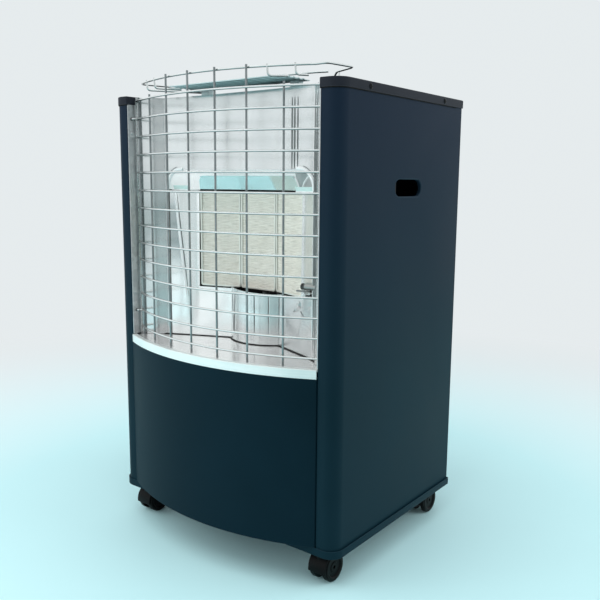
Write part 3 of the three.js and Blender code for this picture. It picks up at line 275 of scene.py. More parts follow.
# each finish: its pieces' slot, the function that makes it, its dark and light tones, and its other numbers
looks = {
    # the cabinet's coat, with painted light towards the top
    "cabinetPaint": ("cabinet_paint", makePaint, (0.0030, 0.0170, 0.0260), (0.0042, 0.0215, 0.0325), {
        **coat, "rubbed": (0.035, 0.065, 0.088), "upper": (0.0078, 0.0168, 0.0315), "shine": 0.07}),
    # the cabinet's powder coat, painted darker on the front panel: painted shade
    "frontPaint": ("cabinet_paint", makePaint, (0.0018, 0.0125, 0.0200), (0.0028, 0.0162, 0.0258), {
        **coat, "rubbed": (0.030, 0.058, 0.080), "shine": 0.055}),
    "lidPaint": ("lid_paint", makePaint, (0.0130, 0.0155, 0.0215), (0.0180, 0.0210, 0.0285), {
        "rubbed": (0.075, 0.082, 0.095), "drift": 6.0, "peel": 1300.0, "depth": 0.00008,
        "rough": (0.46, 0.56), "wear": 0.55, "shine": 0.10}),
    # a darker band along the top edge is painted shade under the deflector, and a teal tone low on the left
    # wing is a painted reflection of the floor
    "polishedSheet": ("reflector_steel", makeSheetMetal, (0.76, 0.775, 0.775), (0.86, 0.88, 0.88), {
        "waves": 6.0, "waveDepth": 0.0035, "streaks": 22.0, "grain": (1.0, 1.0, 0.12),
        "grainDepth": 0.000008, "clouds": 13.0, "metal": 0.86, "rough": (0.15, 0.26), "veils": [
            ([((0, 0, 1), 0.684, 0.700), ((1, 0, 0), 0.135, 0.120)], 0.55, (0.48, 0.52, 0.52)),
            ([((0, 0, 1), 0.600, 0.520), ((1, 0, -0.6), -0.440, -0.470)], 0.50, (0.26, 0.36, 0.36))]}),
    # painted shade: a darker teal band left of the seam; and a painted glow for bounced light
    "seamSheet": ("reflector_steel", makeSheetMetal, (0.80, 0.82, 0.82), (0.88, 0.90, 0.90), {
        **wavy, "rough": (0.16, 0.28), "gather": 0.22, "veils": [
            ([((1, 0, 0.0957), -0.0830, -0.0842), ((0, 0, 1), 0.585, 0.520), ((0, 0, 1), 0.415, 0.470)],
             0.60, (0.16, 0.24, 0.245))]}),
    "satinSheet": ("reflector_steel", makeSheetMetal, (0.78, 0.80, 0.80), (0.87, 0.89, 0.89), {
        **wavy, "rough": (0.14, 0.26)}),
    # a painted glow stands for the light bounced about in the recess
    "innerSheet": ("reflector_steel", makeSheetMetal, (0.955, 0.955, 0.96), (0.985, 0.985, 0.99), {
        **rolled, "waves": 10.0, "waveDepth": 0.0006, "metal": 1.0, "rough": (0.46, 0.58), "gather": 0.20}),
    # the visor's steel is tinted aqua: a painted reflection of the floor
    "hoodSheet": ("reflector_steel", makeSheetMetal, (0.66, 0.82, 0.82), (0.75, 0.90, 0.90), {
        **crossed, "waves": 14.0, "clouds": 18.0}),
    "shelfSheet": ("reflector_steel", makeSheetMetal, (0.86, 0.83, 0.82), (0.94, 0.92, 0.91), {
        **crossed, "waves": 10.0}),
    # the deflector's steel is tinted teal: a painted reflection of the floor
    "deflectorSheet": ("reflector_steel", makeSheetMetal, (0.46, 0.60, 0.61), (0.58, 0.72, 0.73), {
        "waves": 12.0, "waveDepth": 0.001, "streaks": 60.0, "grain": (0.08, 1.0, 1.0), "grainDepth": 0.00003,
        "clouds": 20.0, "metal": 0.55, "rough": (0.28, 0.42)}),
    "frameSteel": ("trim_aluminium", makeSheetMetal, (0.76, 0.77, 0.70), (0.86, 0.87, 0.81), {
        **cast, "grainDepth": 0.00004, "clouds": 30.0, "metal": 0.35, "rough": (0.30, 0.42)}),
    "zincSheet": ("zinc_sheet", makeZinc, (0.50, 0.51, 0.52), (0.72, 0.73, 0.73), {
        "crystals": 110.0, "rough": (0.28, 0.44)}),
    "platedWire": ("plated_wire", makePlating, (0.84, 0.85, 0.84), (0.94, 0.95, 0.94), {
        "film": (0.15, 0.16, 0.16), "patches": 45.0, "rough": (0.16, 0.28)}),
    # the same plated wire as the rungs, painted much darker on the upright bars: painted shade
    "platedBar": ("plated_wire", makePlating, (0.25, 0.28, 0.285), (0.36, 0.39, 0.395), {
        "patches": 45.0, "rough": (0.14, 0.24)}),
    # near white strips on rolled edges and ridges: painted highlight
    "brightEdge": ("reflector_steel", makeSheetMetal, (0.90, 0.92, 0.92), (0.96, 0.97, 0.97), {
        **folded, "grain": (1.0, 1.0, 0.3), "metal": 0.08, "rough": (0.40, 0.50)}),
    # dark strips on the deflector's ribs: painted shade
    "ribSheet": ("reflector_steel", makeSheetMetal, (0.13, 0.20, 0.205), (0.20, 0.28, 0.285), {
        **folded, "metal": 0.30, "rough": (0.36, 0.48)}),
    # the reflector's steel painted dark grey on the gusset: painted shade
    "gussetSheet": ("reflector_steel", makeSheetMetal, (0.30, 0.335, 0.335), (0.37, 0.405, 0.405), {
        **folded, "metal": 0.20, "rough": (0.40, 0.52)}),
    # the aprons' steel is tinted aqua: a painted reflection of the floor
    "apronSheet": ("reflector_steel", makeSheetMetal, (0.66, 0.84, 0.80), (0.74, 0.90, 0.86), {
        **folded, "metal": 0.10, "rough": (0.34, 0.46)}),
    # dark strips in creases and folds: painted shade
    "creaseSheet": ("reflector_steel", makeSheetMetal, (0.15, 0.165, 0.165), (0.24, 0.26, 0.26), {
        "waves": 20.0, "waveDepth": 0.0003, "streaks": 60.0, "grain": (1.0, 1.0, 0.2), "grainDepth": 0.00002,
        "clouds": 40.0, "metal": 0.60, "rough": (0.34, 0.48)}),
    "trimAluminium": ("trim_aluminium", makeSheetMetal, (0.80, 0.86, 0.85), (0.90, 0.94, 0.93), {
        "waves": 14.0, "waveDepth": 0.0006, "streaks": 90.0, "grain": (0.05, 0.05, 6.0),
        "grainDepth": 0.00004, "clouds": 22.0, "metal": 0.55, "rough": (0.34, 0.44)}),
    "plaqueCeramic": ("plaque_ceramic", makeCeramic, (0.86, 0.840, 0.760), (0.97, 0.955, 0.885), {
        "hole": (0.36, 0.345, 0.29), "pitch": 2.44, "bore": 0.26, "stains": 22.0}),
    "burnerSteel": ("burner_steel", makeSheetMetal, (0.24, 0.24, 0.24), (0.42, 0.42, 0.41), {
        **cast, "grainDepth": 0.00006, "clouds": 28.0, "metal": 1.0, "rough": (0.36, 0.52)}),
    "nozzleSteel": ("burner_steel", makePlating, (0.11, 0.115, 0.115), (0.19, 0.195, 0.195), {
        "patches": 60.0, "rough": (0.34, 0.46)}),
    "pilotSteel": ("burner_steel", makePlating, (0.42, 0.42, 0.41), (0.55, 0.55, 0.53), {
        "film": (0.07, 0.085, 0.085), "patches": 60.0, "rough": (0.34, 0.46)}),
    "tapBrass": ("tap_brass", makePlating, (0.40, 0.27, 0.09), (0.58, 0.42, 0.16), {
        "patches": 60.0, "rough": (0.26, 0.40)}),
    "pipeCopper": ("pipe_copper", makePlating, (0.36, 0.15, 0.08), (0.55, 0.25, 0.13), {
        "patches": 50.0, "rough": (0.26, 0.42)}),
    "blackPlastic": ("black_plastic", makePlastic, (0.0022, 0.0024, 0.0027), (0.0042, 0.0045, 0.0050), {
        "grain": 1100.0, "depth": 0.00006, "rough": (0.34, 0.48), "shine": 0.12}),
    "redPlastic": ("red_plastic", makePlastic, (0.28, 0.010, 0.008), (0.36, 0.016, 0.012), {
        "grain": 900.0, "depth": 0.00003, "rough": (0.22, 0.32), "shine": 0.5}),
    "whiteMark": ("electrode_ceramic", makePlastic, (0.60, 0.60, 0.58), (0.72, 0.72, 0.70), {
        "grain": 900.0, "depth": 0.00003, "rough": (0.40, 0.55), "shine": 0.4}),
    "glazedCeramic": ("electrode_ceramic", makePlastic, (0.62, 0.60, 0.55), (0.74, 0.72, 0.67), {
        "grain": 700.0, "depth": 0.00003, "rough": (0.16, 0.26), "shine": 0.5}),
    # black strips in gaps: painted shade
    "blackSeal": ("black_plastic", makePlastic, (0.004, 0.004, 0.004), (0.009, 0.009, 0.009), {
        "grain": 700.0, "depth": 0.0002, "rough": (0.75, 0.90), "shine": 0.2}),
    # zinc painted near black: painted shade inside the cabinet, seen through the hand holes
    "sootedZinc": ("zinc_sheet", makePlating, (0.012, 0.013, 0.014), (0.030, 0.032, 0.034), {
        "patches": 20.0, "rough": (0.45, 0.60)}),
    "blackScrew": ("burner_steel", makePlating, (0.006, 0.007, 0.008), (0.014, 0.015, 0.017), {
        "patches": 60.0, "rough": (0.30, 0.42)}),
}
finishes = {
    name: make(name, {"dark": dark, "light": light, **look})
    for name, (slot, make, dark, light, look) in looks.items()}
print("finishes:", len(finishes))


def arc(cx, cy, radius, start, stop, steps):
    points = []
    for i in range(steps + 1):
        angle = math.radians(start + (stop - start) * i / steps)
        points.append((cx + radius * math.cos(angle), cy + radius * math.sin(angle)))
    return points


def strip(points, thickness):
    # The outline of a bent strip: the points run along one face, the other face is to their left.
    line = [Vector(p) for p in points]

    def left(a, b):
        return Vector((a.y - b.y, b.x - a.x)).normalized()

    back = []
    for i, point in enumerate(line):
        before = left(line[i - 1], point) if i else left(point, line[1])
        after = left(point, line[i + 1]) if i < len(line) - 1 else before
        mitre = (before + after).normalized()
        back.append(point + mitre * (thickness / mitre.dot(before)))
    return [tuple(p) for p in line + back[::-1]]


def rounded(points, radius, steps=5):
    # Each inner corner of a flat or spatial path is turned on an arc-like bend.
    path = [Vector(p) for p in points]
    result = [path[0]]
    for first, corner, last in zip(path, path[1:], path[2:]):
        before, after = first - corner, last - corner
        reach = min(radius, before.length * 0.49, after.length * 0.49)
        start = corner + before.normalized() * reach
        stop = corner + after.normalized() * reach
        for k in range(steps + 1):
            t = k / steps
            result.append(start * (1 - t) ** 2 + corner * (2 * t * (1 - t)) + stop * t * t)
    return [tuple(p) for p in result + [path[-1]]]


def boxOutline(x0, x1, y0, y1, radius=0.0, steps=6):
    if radius <= 0:
        return [(x0, y0), (x1, y0), (x1, y1), (x0, y1)]
    return (
        arc(x1 - radius, y0 + radius, radius, -90, 0, steps)
        + arc(x1 - radius, y1 - radius, radius, 0, 90, steps)
        + arc(x0 + radius, y1 - radius, radius, 90, 180, steps)
        + arc(x0 + radius, y0 + radius, radius, 180, 270, steps))


def bothSides(right, middle=()):
    # A line from its left end to its right one, from its right half.
    return [(-x, y) for x, y in right[::-1]] + list(middle) + right


def shellOutline(x, y, r, back, middle=()):
    # The cabinet's plan: round front corners, tight rear ones, and what lies between those.
    return (
        arc(x - r, -y + r, r, -90, 0, 16) + arc(x - back, y - back, back, 0, 90, 4) + list(middle)
        + arc(-x + back, y - back, back, 90, 180, 4) + arc(-x + r, -y + r, r, 180, 270, 16))


def bowY(x, inset=0.0):
    return bow["centre"] - math.sqrt((bow["radius"] - inset) ** 2 - x * x)


def bowLine(inset, half, steps=bow["steps"]):
    sweep = math.degrees(math.asin(half / (bow["radius"] - inset)))
    return arc(0, bow["centre"], bow["radius"] - inset, -90 - sweep, -90 + sweep, steps)


def spot(x, y, z):
    return Vector((x * mm, midY + y * mm, z * mm))


planes = {"xy": spot, "xz": lambda a, b, h: spot(a, h, b), "yz": lambda a, b, h: spot(h, a, b)}


def shade(piece, angle=35):
    piece.data.shade_smooth()
    piece.data.set_sharp_from_angle(angle=math.radians(angle))
    return piece


def linked(name, data):
    piece = bpy.data.objects.new(name, data)
    bpy.context.scene.collection.objects.link(piece)
    return piece


def drawn(name, points, edges, faces):
    mesh = bpy.data.meshes.new(name)
    mesh.from_pydata([tuple(p) for p in points], edges, faces)
    return linked(name, mesh)


def rework(piece, change):
    # The mesh is opened, changed and written back.
    work = bmesh.new()
    work.from_mesh(piece.data)
    change(work)
    work.to_mesh(piece.data)
    work.free()
    return piece


def turnOut(piece):
    def change(work):
        bmesh.ops.remove_doubles(work, verts=work.verts, dist=1e-6)
        bmesh.ops.recalc_face_normals(work, faces=work.faces)

    return rework(piece, change)


def turnTo(piece, way):
    # An open sheet's faces are turned to look mostly one way.
    def change(work):
        if sum(f.normal.dot(way) * f.calc_area() for f in work.faces) < 0:
            bmesh.ops.reverse_faces(work, faces=work.faces)

    return rework(piece, change)


def meshPiece(name, points, faces, angle=35):
    return shade(turnOut(drawn(name, points, [], faces)), angle)


def ringFaces(count, rings, closed=False):
    # The faces between rings of as many points each, and their two caps unless the last ring meets the first.
    last = (rings - 1) * count
    faces = [] if closed else [tuple(range(count)), tuple(range(last, last + count))]
    for k in range(rings if closed else rings - 1):
        n = (k + 1) % rings
        for i in range(count):
            j = (i + 1) % count
            faces.append((k * count + i, k * count + j, n * count + j, n * count + i))
    return faces


def prism(name, outline, low, high, plane="xy"):
    points = [planes[plane](a, b, h) for h in (low, high) for a, b in outline]
    return meshPiece(name, points, ringFaces(len(outline), 2))


def cylinder(radius, low, high):
    # the profile of a plain cylinder, for lathe
    return [(0, low), (radius, low), (radius, high), (0, high)]


def lathe(name, profile, centre, axis="z", segments=48, closed=False, angle=35):
    # The profile is (radius, height) points; radius 0 is a pole. A closed profile makes a ring.
    points, rings = [], []
    for radius, height in profile:
        if radius == 0:
            rings.append([len(points)] * segments)
            points.append(turnAxis(axis, 0, 0, height, centre))
            continue
        rings.append(list(range(len(points), len(points) + segments)))
        for k in range(segments):
            a = 2 * math.pi * k / segments
            points.append(turnAxis(axis, radius * math.cos(a), radius * math.sin(a), height, centre))
    faces = []
    pairs = list(zip(rings, rings[1:])) + ([(rings[-1], rings[0])] if closed else [])
    for one, two in pairs:
        for k in range(segments):
            n = (k + 1) % segments
            corners = []
            for corner in (one[k], one[n], two[n], two[k]):
                if corner not in corners:
                    corners.append(corner)
            faces.append(tuple(corners))
    return meshPiece(name, points, faces, angle)


def turnAxis(axis, a, b, h, centre):
    x, y, z = centre
    return spot(x + h, y + a, z + b) if axis == "x" else spot(x + a, y + b, z + h)


def bake(piece):
    # The modified mesh becomes the piece's own, and its modifiers go.
    bpy.context.view_layer.update()
    evaluated = piece.evaluated_get(bpy.context.evaluated_depsgraph_get())
    mesh = bpy.data.meshes.new_from_object(evaluated)
    piece.modifiers.clear()
    piece.data = mesh
    mesh.name = piece.name
    return piece


def cutAway(piece, *tools):
    for tool in tools:
        change = piece.modifiers.new("cut", "BOOLEAN")
        change.operation = "DIFFERENCE"
        change.solver = "EXACT"
        change.object = tool
    bake(piece)
    for tool in tools:
        bpy.data.objects.remove(tool)
    return shade(piece)


def joinPieces(first, *others):
    # Several closed meshes become one piece.
    work = bmesh.new()
    for piece in (first, *others):
        work.from_mesh(piece.data)
    work.to_mesh(first.data)
    work.free()
    for piece in others:
        bpy.data.objects.remove(piece)
    return shade(first)


def soften(piece, width, segments=2, angle=40):
    change = piece.modifiers.new("soften", "BEVEL")
    change.width = width * mm
    change.segments = segments
    change.limit_method = "ANGLE"
    change.angle_limit = math.radians(angle)
    return piece


def thicken(piece, thickness=cabinet["sheet"]):
    change = piece.modifiers.new("thicken", "SOLIDIFY")
    change.thickness = thickness * mm
    change.offset = -1.0
    change.use_even_offset = True
    return piece


def gridSheet(name, rows, wall):
    # A grid of points becomes a sheet with a wall, seen from the front.
    wide = len(rows[0])
    faces = [(i * wide + k, i * wide + k + 1, (i + 1) * wide + k + 1, (i + 1) * wide + k)
             for i in range(len(rows) - 1) for k in range(wide - 1)]
    sheet = meshPiece(name, [spot(*p) for row in rows for p in row], faces)
    return bake(thicken(turnTo(sheet, (0, -1, 0)), wall))


def toOrigin(piece):
    # spot() draws about the cabinet's middle, and this takes a piece from there to the origin
    piece.data.transform(Matrix.Translation((0, -midY, 0)))
    return piece


def wear(piece, finish):
    piece.data.materials.clear()
    piece.data.materials.append(finishes[finish])
    return piece


def settle(piece, finish, body="cabinet", stands=()):
    wear(piece, finish)
    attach(piece, body)
    if stands:
        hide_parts(*stands)
    return piece


def mirror(piece, name):
    mesh = piece.data.copy()
    mesh.transform(Matrix.Scale(-1, 4, (1, 0, 0)))
    mesh.flip_normals()
    return linked(name, mesh)


def newTree(name, inputs):
    tree = bpy.data.node_groups.new(name, "GeometryNodeTree")
    tree.interface.new_socket("Geometry", in_out="INPUT", socket_type="NodeSocketGeometry")
    for label, kind, value in inputs:
        socket = tree.interface.new_socket(label, in_out="INPUT", socket_type=kind)
        if value is not None:
            socket.default_value = value
    tree.interface.new_socket("Geometry", in_out="OUTPUT", socket_type="NodeSocketGeometry")
    book = Book(tree)
    return tree, book, book.add("NodeGroupInput")


def endTree(book, source, geometry):
    solid = book.add("GeometryNodeRealizeInstances", {}, {0: geometry})
    worn = book.add("GeometryNodeSetMaterial", {}, {"Geometry": solid, "Material": source.of("Material")})
    book.add("NodeGroupOutput", {}, {0: worn})


def makeWireTree():
    # Lines become round wire with capped ends.
    tree, book, source = newTree("roundWire", [
        ("Wire radius", "NodeSocketFloat", 0.0016),
        ("Sides", "NodeSocketInt", 14),
        ("Material", "NodeSocketMaterial", None)])
    path = book.add("GeometryNodeMeshToCurve", {}, {"Mesh": source})
    ring = book.add("GeometryNodeCurvePrimitiveCircle", {"mode": "RADIUS"}, {
        "Resolution": source.of("Sides"), "Radius": source.of("Wire radius")})
    tube = book.add("GeometryNodeCurveToMesh", {}, {"Curve": path, "Profile Curve": ring, "Fill Caps": True})
    endTree(book, source, book.add("GeometryNodeSetShadeSmooth", {}, {"Geometry": tube}))
    return tree


def makeScatterTree():
    # A small object is set on every point and turned to face the way that the point's "facing" says.
    tree, book, source = newTree("setOnPoints", [
        ("Shape", "NodeSocketObject", None),
        ("Size", "NodeSocketFloat", 1.0),
        ("Material", "NodeSocketMaterial", None)])
    facing = book.add("GeometryNodeInputNamedAttribute", {"data_type": "FLOAT_VECTOR"}, {"Name": "facing"})
    turn = book.add("FunctionNodeAlignRotationToVector", {"axis": "Z"}, {"Vector": facing})
    shape = book.add("GeometryNodeObjectInfo", {"transform_space": "ORIGINAL"}, {
        "Object": source.of("Shape")}, "Geometry")
    placed = book.add("GeometryNodeInstanceOnPoints", {}, {
        "Points": source, "Instance": shape, "Rotation": turn, "Scale": source.of("Size")})
    endTree(book, source, placed)
    return tree


trees = {"wire": makeWireTree(), "scatter": makeScatterTree()}


def runTree(piece, tree, values):
    change = piece.modifiers.new("nodes", "NODES")
    change.node_group = tree
    names = {item.name: item.identifier for item in tree.interface.items_tree if item.in_out == "INPUT"}
    for name, value in values.items():
        change[names[name]] = value
    return bake(piece)


def wirePiece(name, paths, radius, finish, sides=14):
    points, edges = [], []
    for path in paths:
        first = len(points)
        points += [spot(*p) for p in path]
        edges += [(first + i, first + i + 1) for i in range(len(path) - 1)]
    piece = drawn(name, points, edges, [])
    runTree(piece, trees["wire"], {
        "Wire radius": radius * mm, "Sides": sides, "Material": finishes[finish]})
    return shade(turnOut(piece), 50)


def scatter(name, shape, places, finish):
    # places are ((x, y, z), (facing)) in millimetres, and the shape goes when it has been set on them
    piece = drawn(name, [spot(*where) for where, _ in places], [], [])
    facing = piece.data.attributes.new("facing", "FLOAT_VECTOR", "POINT")
    for i, (_, way) in enumerate(places):
        facing.data[i].vector = Vector(way).normalized()
    runTree(piece, trees["scatter"], {"Shape": shape, "Size": 1.0, "Material": finishes[finish]})
    bpy.data.objects.remove(shape)
    return shade(piece, 40)


def headShape(name, radius, height, recess=True):
    # A low domed head, drawn round its own origin, with a cross recess.
    profile = [(0, height)]
    for step in range(1, 6):
        angle = math.radians(90 - 16 * step)
        profile.append((radius * math.cos(angle), height * math.sin(angle)))
    profile += [(radius, 0.1 * height), (radius, 0), (0, 0)]
    head = toOrigin(lathe(name, profile, (0, 0, 0), "z", 20))
    if recess:
        arm, half = radius * 0.62, radius * 0.11
        for long, wide in ((arm, half), (half, arm)):
            slot = boxOutline(-long, long, -wide, wide)
            cutAway(head, toOrigin(prism("slot", slot, height * 0.35, height * 2)))
    return head


def lidOutline(inset=0.0):
    x = cabinet["lidHalf"] - inset
    y = cabinet["deep"] - inset
    arm = cabinet["opening"] - cabinet["sheet"] - cabinet["gap"] + inset
    r = cabinet["corner"] - inset
    back = 2.0 - min(inset, 1.5)
    outlet = -115.0
    return [(arm, -y)] + shellOutline(x, y, r, back) + [(-arm, -y), (-arm, outlet), (arm, outlet)]


def pan(name, outline, face, rim, crown):
    # A pressed tray: a flat face with a wall round it, rounded where they meet.
    points = [spot(x, y, z) for z in (face, rim) for x, y in outline]
    faces = ringFaces(len(outline), 2)
    faces.pop(1)  # the side that stays open
    piece = turnTo(meshPiece(name, points, faces), (0, 0, face - rim))
    return shade(bake(thicken(soften(piece, crown, 3, 50))))


lidLine = {"drop": 1.4, "gap": 0.05, "inset": 0.5, "wide": 1.2, "end": 150.0}


def makeLid():
    top, lip = cabinet["lidTop"], cabinet["lidTop"] - cabinet["lidLip"]
    lid = pan("topLid", lidOutline(), top, lip, 1.6)
    cutAway(lid, *(
        lathe("tool", cylinder(control["hole"], -5, 5), (control["x"], control["y"], top))
        for control in (knob, button)))
    settle(lid, "lidPaint", stands=["top_lid"])
    # a black strip under the lip, at the front and the sides: painted shade in the gap
    k = lidLine
    low, high = lip - k["drop"], lip - k["gap"]
    line = prism("lidGapLine", lidOutline(k["inset"]), low, high)
    cutAway(line, prism("tool", lidOutline(k["inset"] + k["wide"]), low - 2, high + 2),
            prism("tool", boxOutline(-300, 300, k["end"], 400), low - 2, high + 2))
    settle(line, "blackSeal")


rear = {"bulge": 64.0, "foot": 196.0, "top": 150.0, "corner": 22.0}


def bulgeLine():
    deep = cabinet["deep"] + rear["bulge"]
    r = rear["corner"]
    cheek = math.degrees(math.atan2(rear["bulge"] - r, rear["foot"] - rear["top"] - r))
    right = [(rear["foot"], cabinet["deep"])]
    right += arc(rear["top"] - r, deep - r, r, cheek / 2, 90, 14)
    return right + [(-x, y) for x, y in reversed(right)]


vent = {"rows": (-114, 116), "pitch": 70, "half": 25, "high": 4, "round": 3.9}


def makeBase():
    c, v = cabinet, vent
    outline = shellOutline(c["half"], c["deep"], c["corner"], 2, bulgeLine())
    base = pan("baseTray", outline, c["baseLow"], c["baseLow"] + c["baseLip"], 1.4)
    tools = []
    for i in (-1, 0, 1):
        middle = i * v["pitch"]
        for row in v["rows"]:
            slot = boxOutline(
                middle - v["half"], middle + v["half"], row - v["high"], row + v["high"], v["round"])
            tools.append(prism("tool", slot, c["baseLow"] - 4, c["baseLow"] + 4))
    cutAway(base, *tools)
    settle(base, "cabinetPaint", stands=["base_tray"])


handHole = {"y": 6.0, "z": 565.0, "half": 39.5, "high": 13.5, "round": 13.4}


def makeSides():
    c, h = cabinet, handHole
    r = c["corner"] - c["sheet"] - c["gap"]
    x, y = c["panelX"], c["panelY"]
    fold = rounded([(c["opening"], -158), (c["opening"], -y), (x - r, -y)], 1.6, 4)[:-1]
    path = fold + arc(x - r, -y + r, r, -90, 0, 20)
    path += rounded([(x, y - 20), (x, y), (x - 18, y)], 1.6, 4)[1:]
    top = c["lidTop"] - c["sheet"] - c["gap"]
    low = c["baseLow"] + c["sheet"] + c["gap"]
    side = prism("sidePanelRight", strip(path, c["sheet"]), low, top)
    hole = boxOutline(
        h["y"] - h["half"], h["y"] + h["half"], h["z"] - h["high"], h["z"] + h["high"], h["round"], 12)
    tools = [prism("tool", hole, x - 5, x + 5, "yz")]
    for z in cover["hooks"]:
        tools.append(prism("tool", boxOutline(x - 15, x - 8, y - 5, y + 5), z - 5, z + 21))
    cutAway(side, *tools)
    # the hole's edge is rolled inwards
    inner = [(h["y"] + (a - h["y"]) * 0.968, h["z"] + (b - h["z"]) * 0.91) for a, b in hole]
    rings = ((hole, 0.15), (inner, 1.0), (inner, 5.5), (hole, 5.5), (hole, 1.3))
    points = [spot(x - depth, a, b) for ring, depth in rings for a, b in ring]
    roll = meshPiece("handHoleRollRight", points, ringFaces(len(hole), len(rings), True), 50)
    twin = mirror(side, "sidePanelLeft")
    rollTwin = mirror(roll, "handHoleRollLeft")
    settle(side, "cabinetPaint", stands=["side_panel_right"])
    settle(twin, "cabinetPaint", stands=["side_panel_left"])
    settle(roll, "cabinetPaint")
    settle(rollTwin, "cabinetPaint")


def bowFlange(name, outer, inner, half, low, high):
    return prism(name, bowLine(outer, half) + bowLine(inner, half)[::-1], low, high)


def makeFront():
    c = cabinet
    half = c["opening"] - c["gap"]
    low = c["baseLow"] + c["baseLip"] + c["gap"]
    high = trim["low"] - c["gap"]
    face = bowLine(0, half)
    ends = [(x, face[0][1] + 12) for x in (-half, half)]
    path = rounded([ends[0], face[0], face[1]], 1.5, 4)[:-1] + face[2:-2]
    path += rounded([face[-2], face[-1], ends[1]], 1.5, 4)[1:]
    skin = prism("frontPanel", strip(path, c["sheet"]), low, high)
    bottom = bowFlange("tool", 1.25, 15, half - 1.5, low + 0.1, low + 1.3)
    top = bowFlange("tool", 1.25, 15, half - 1.5, high - 1.3, high - 0.1)
    joinPieces(skin, bottom, top)
    settle(soften(skin, 0.35), "frontPaint", stands=["front_panel"])

    band = prism("frontTrimStrip", strip(face, trim["sheet"]), trim["low"], trim["high"])
    fold = bowFlange("tool", 1.9, 8, half - 0.5, shelfTop + c["gap"], trim["high"] - 0.05)
    joinPieces(band, fold)
    settle(soften(band, 0.7, 3), "trimAluminium", stands=["front_trim_strip"])


cover = {
    "low": 62.4, "high": 676.0, "wing": 18.0, "hooks": (160, 590), "hookHalf": 2.5, "grip": (46, 614, 640),
    "louvreHalf": 48, "louvreX": 62, "louvreFeet": (100, 530), "louvrePitch": 16, "overrun": 5.5}


def makeRearCover():
    c, k = cabinet, cover
    bulge = bulgeLine()
    wing = rear["foot"] + k["wing"]
    skirt = [(wing, c["deep"])] + bulge + [(-wing, c["deep"])]
    count = len(skirt)
    points = [spot(x, y, z) for z in (k["low"], k["high"]) for x, y in skirt]
    faces = [(i, i + 1, count + i + 1, count + i) for i in range(count - 1)]
    faces.append(tuple(count + 1 + i for i in range(len(bulge))))
    shell = turnTo(meshPiece("rearCover", points, faces), (0, 1, 0))
    shade(bake(thicken(soften(shell, 1.5, 3, 50))))
    deep = c["deep"] + rear["bulge"]
    half, low, high = k["grip"]
    tools = [prism("tool", boxOutline(-half, half, low, high, 12.9, 10), deep - 4, deep + 4, "xz")]
    blades = []
    w, reach = k["louvreHalf"], k["louvreHalf"] + k["overrun"]
    for row in range(3):
        for x in (-k["louvreX"], k["louvreX"]):
            for foot in k["louvreFeet"]:
                z = foot + row * k["louvrePitch"]
                slot = boxOutline(x - w, x + w, z - 3, z + 3, 2.9)
                tools.append(prism("tool", slot, deep - 4, deep + 4, "xz"))
                # each louvre has a pressed vane that slopes down and inwards
                path = rounded([(deep - 1.25, z + 4.6), (deep - 1.9, z + 2.6), (deep - 8, z - 4)], 2.0, 4)
                blades.append(prism("vane", strip(path, 0.9), x - reach, x + reach, "yz"))
    cutAway(shell, *tools)
    hooks = []
    for side in (-1, 1):
        x, y = side * (c["panelX"] - 11.5), c["panelY"] - c["sheet"] - 1.6
        for z in k["hooks"]:
            neck = boxOutline(x - k["hookHalf"], x + k["hookHalf"], y, c["deep"] - 1.1)
            tongue = boxOutline(x - k["hookHalf"], x + k["hookHalf"], y - c["sheet"], y + 0.05)
            hooks += [prism("hook", neck, z - 3, z + 5), prism("hook", tongue, z - 16, z + 5)]
    joinPieces(shell, *blades, *hooks)
    settle(shell, "cabinetPaint", "rear_cover", stands=["rear_cover"])


arch = {"half": 147.0, "top": 590.0, "radius": 28.0, "ledge": 558.0}
reflectorPlan = bothSides([(75, -122.5), (150, -129), (188.4, -154.5)], [(0, -120)])


def archOutline(foot, offset=0.0):
    # The arch from its left foot round by the right one, or a line at an offset outside it.
    half, top, r = arch["half"], arch["top"], arch["radius"]
    return (
        [(-half - offset, foot), (half + offset, foot)]
        + arc(half - r, top - r, r + offset, 0, 90, 18)
        + arc(-half + r, top - r, r + offset, 90, 180, 18))


def makeReflector():
    # Each wing has a second fold, and the sheet's top edge is bent back a little over the outlet.
    low = shelfTop + cabinet["gap"]
    half = [(75, -122.5), (149, -128.8), (153, -131.0), (166, -145.0), (188.4, -154.5), (188.4, -157.9)]
    outline = strip(rounded(bothSides(half, [(0, -120)]), 3.0, 5), cabinet["sheet"])
    edge = [(low, 0), (694, 0), (699, 0.2), (702, 0.5), (703.8, 1.0)]
    points = [spot(x, y + back, z) for z, back in edge for x, y in outline]
    panel = meshPiece("reflectorPanel", points, ringFaces(len(outline), len(edge)))
    cutAway(panel, prism("tool", archOutline(300), -140, -100, "xz"))
    settle(panel, "polishedSheet", stands=["reflector_panel"])
    # dark strips lie along the sheet's folds: painted shade
    lines = [(-149.6, -129.9, 1.5, 330, 694), (106.6, -125.9, 1.5, 590, 690), (111.6, -126.3, 2.0, 590, 690),
             (117.6, -126.8, 1.2, 590, 690), (151.4, -131.4, 2.8, 330, 690), (166.0, -146.2, 2.2, 330, 690)]
    for number, (x, y, width, foot, top) in enumerate(lines):
        dart(f"reflectorFold{number + 1}", [(x, y, foot), (x, y, top)], width, 0.5, (0, -1, 0), "creaseSheet")


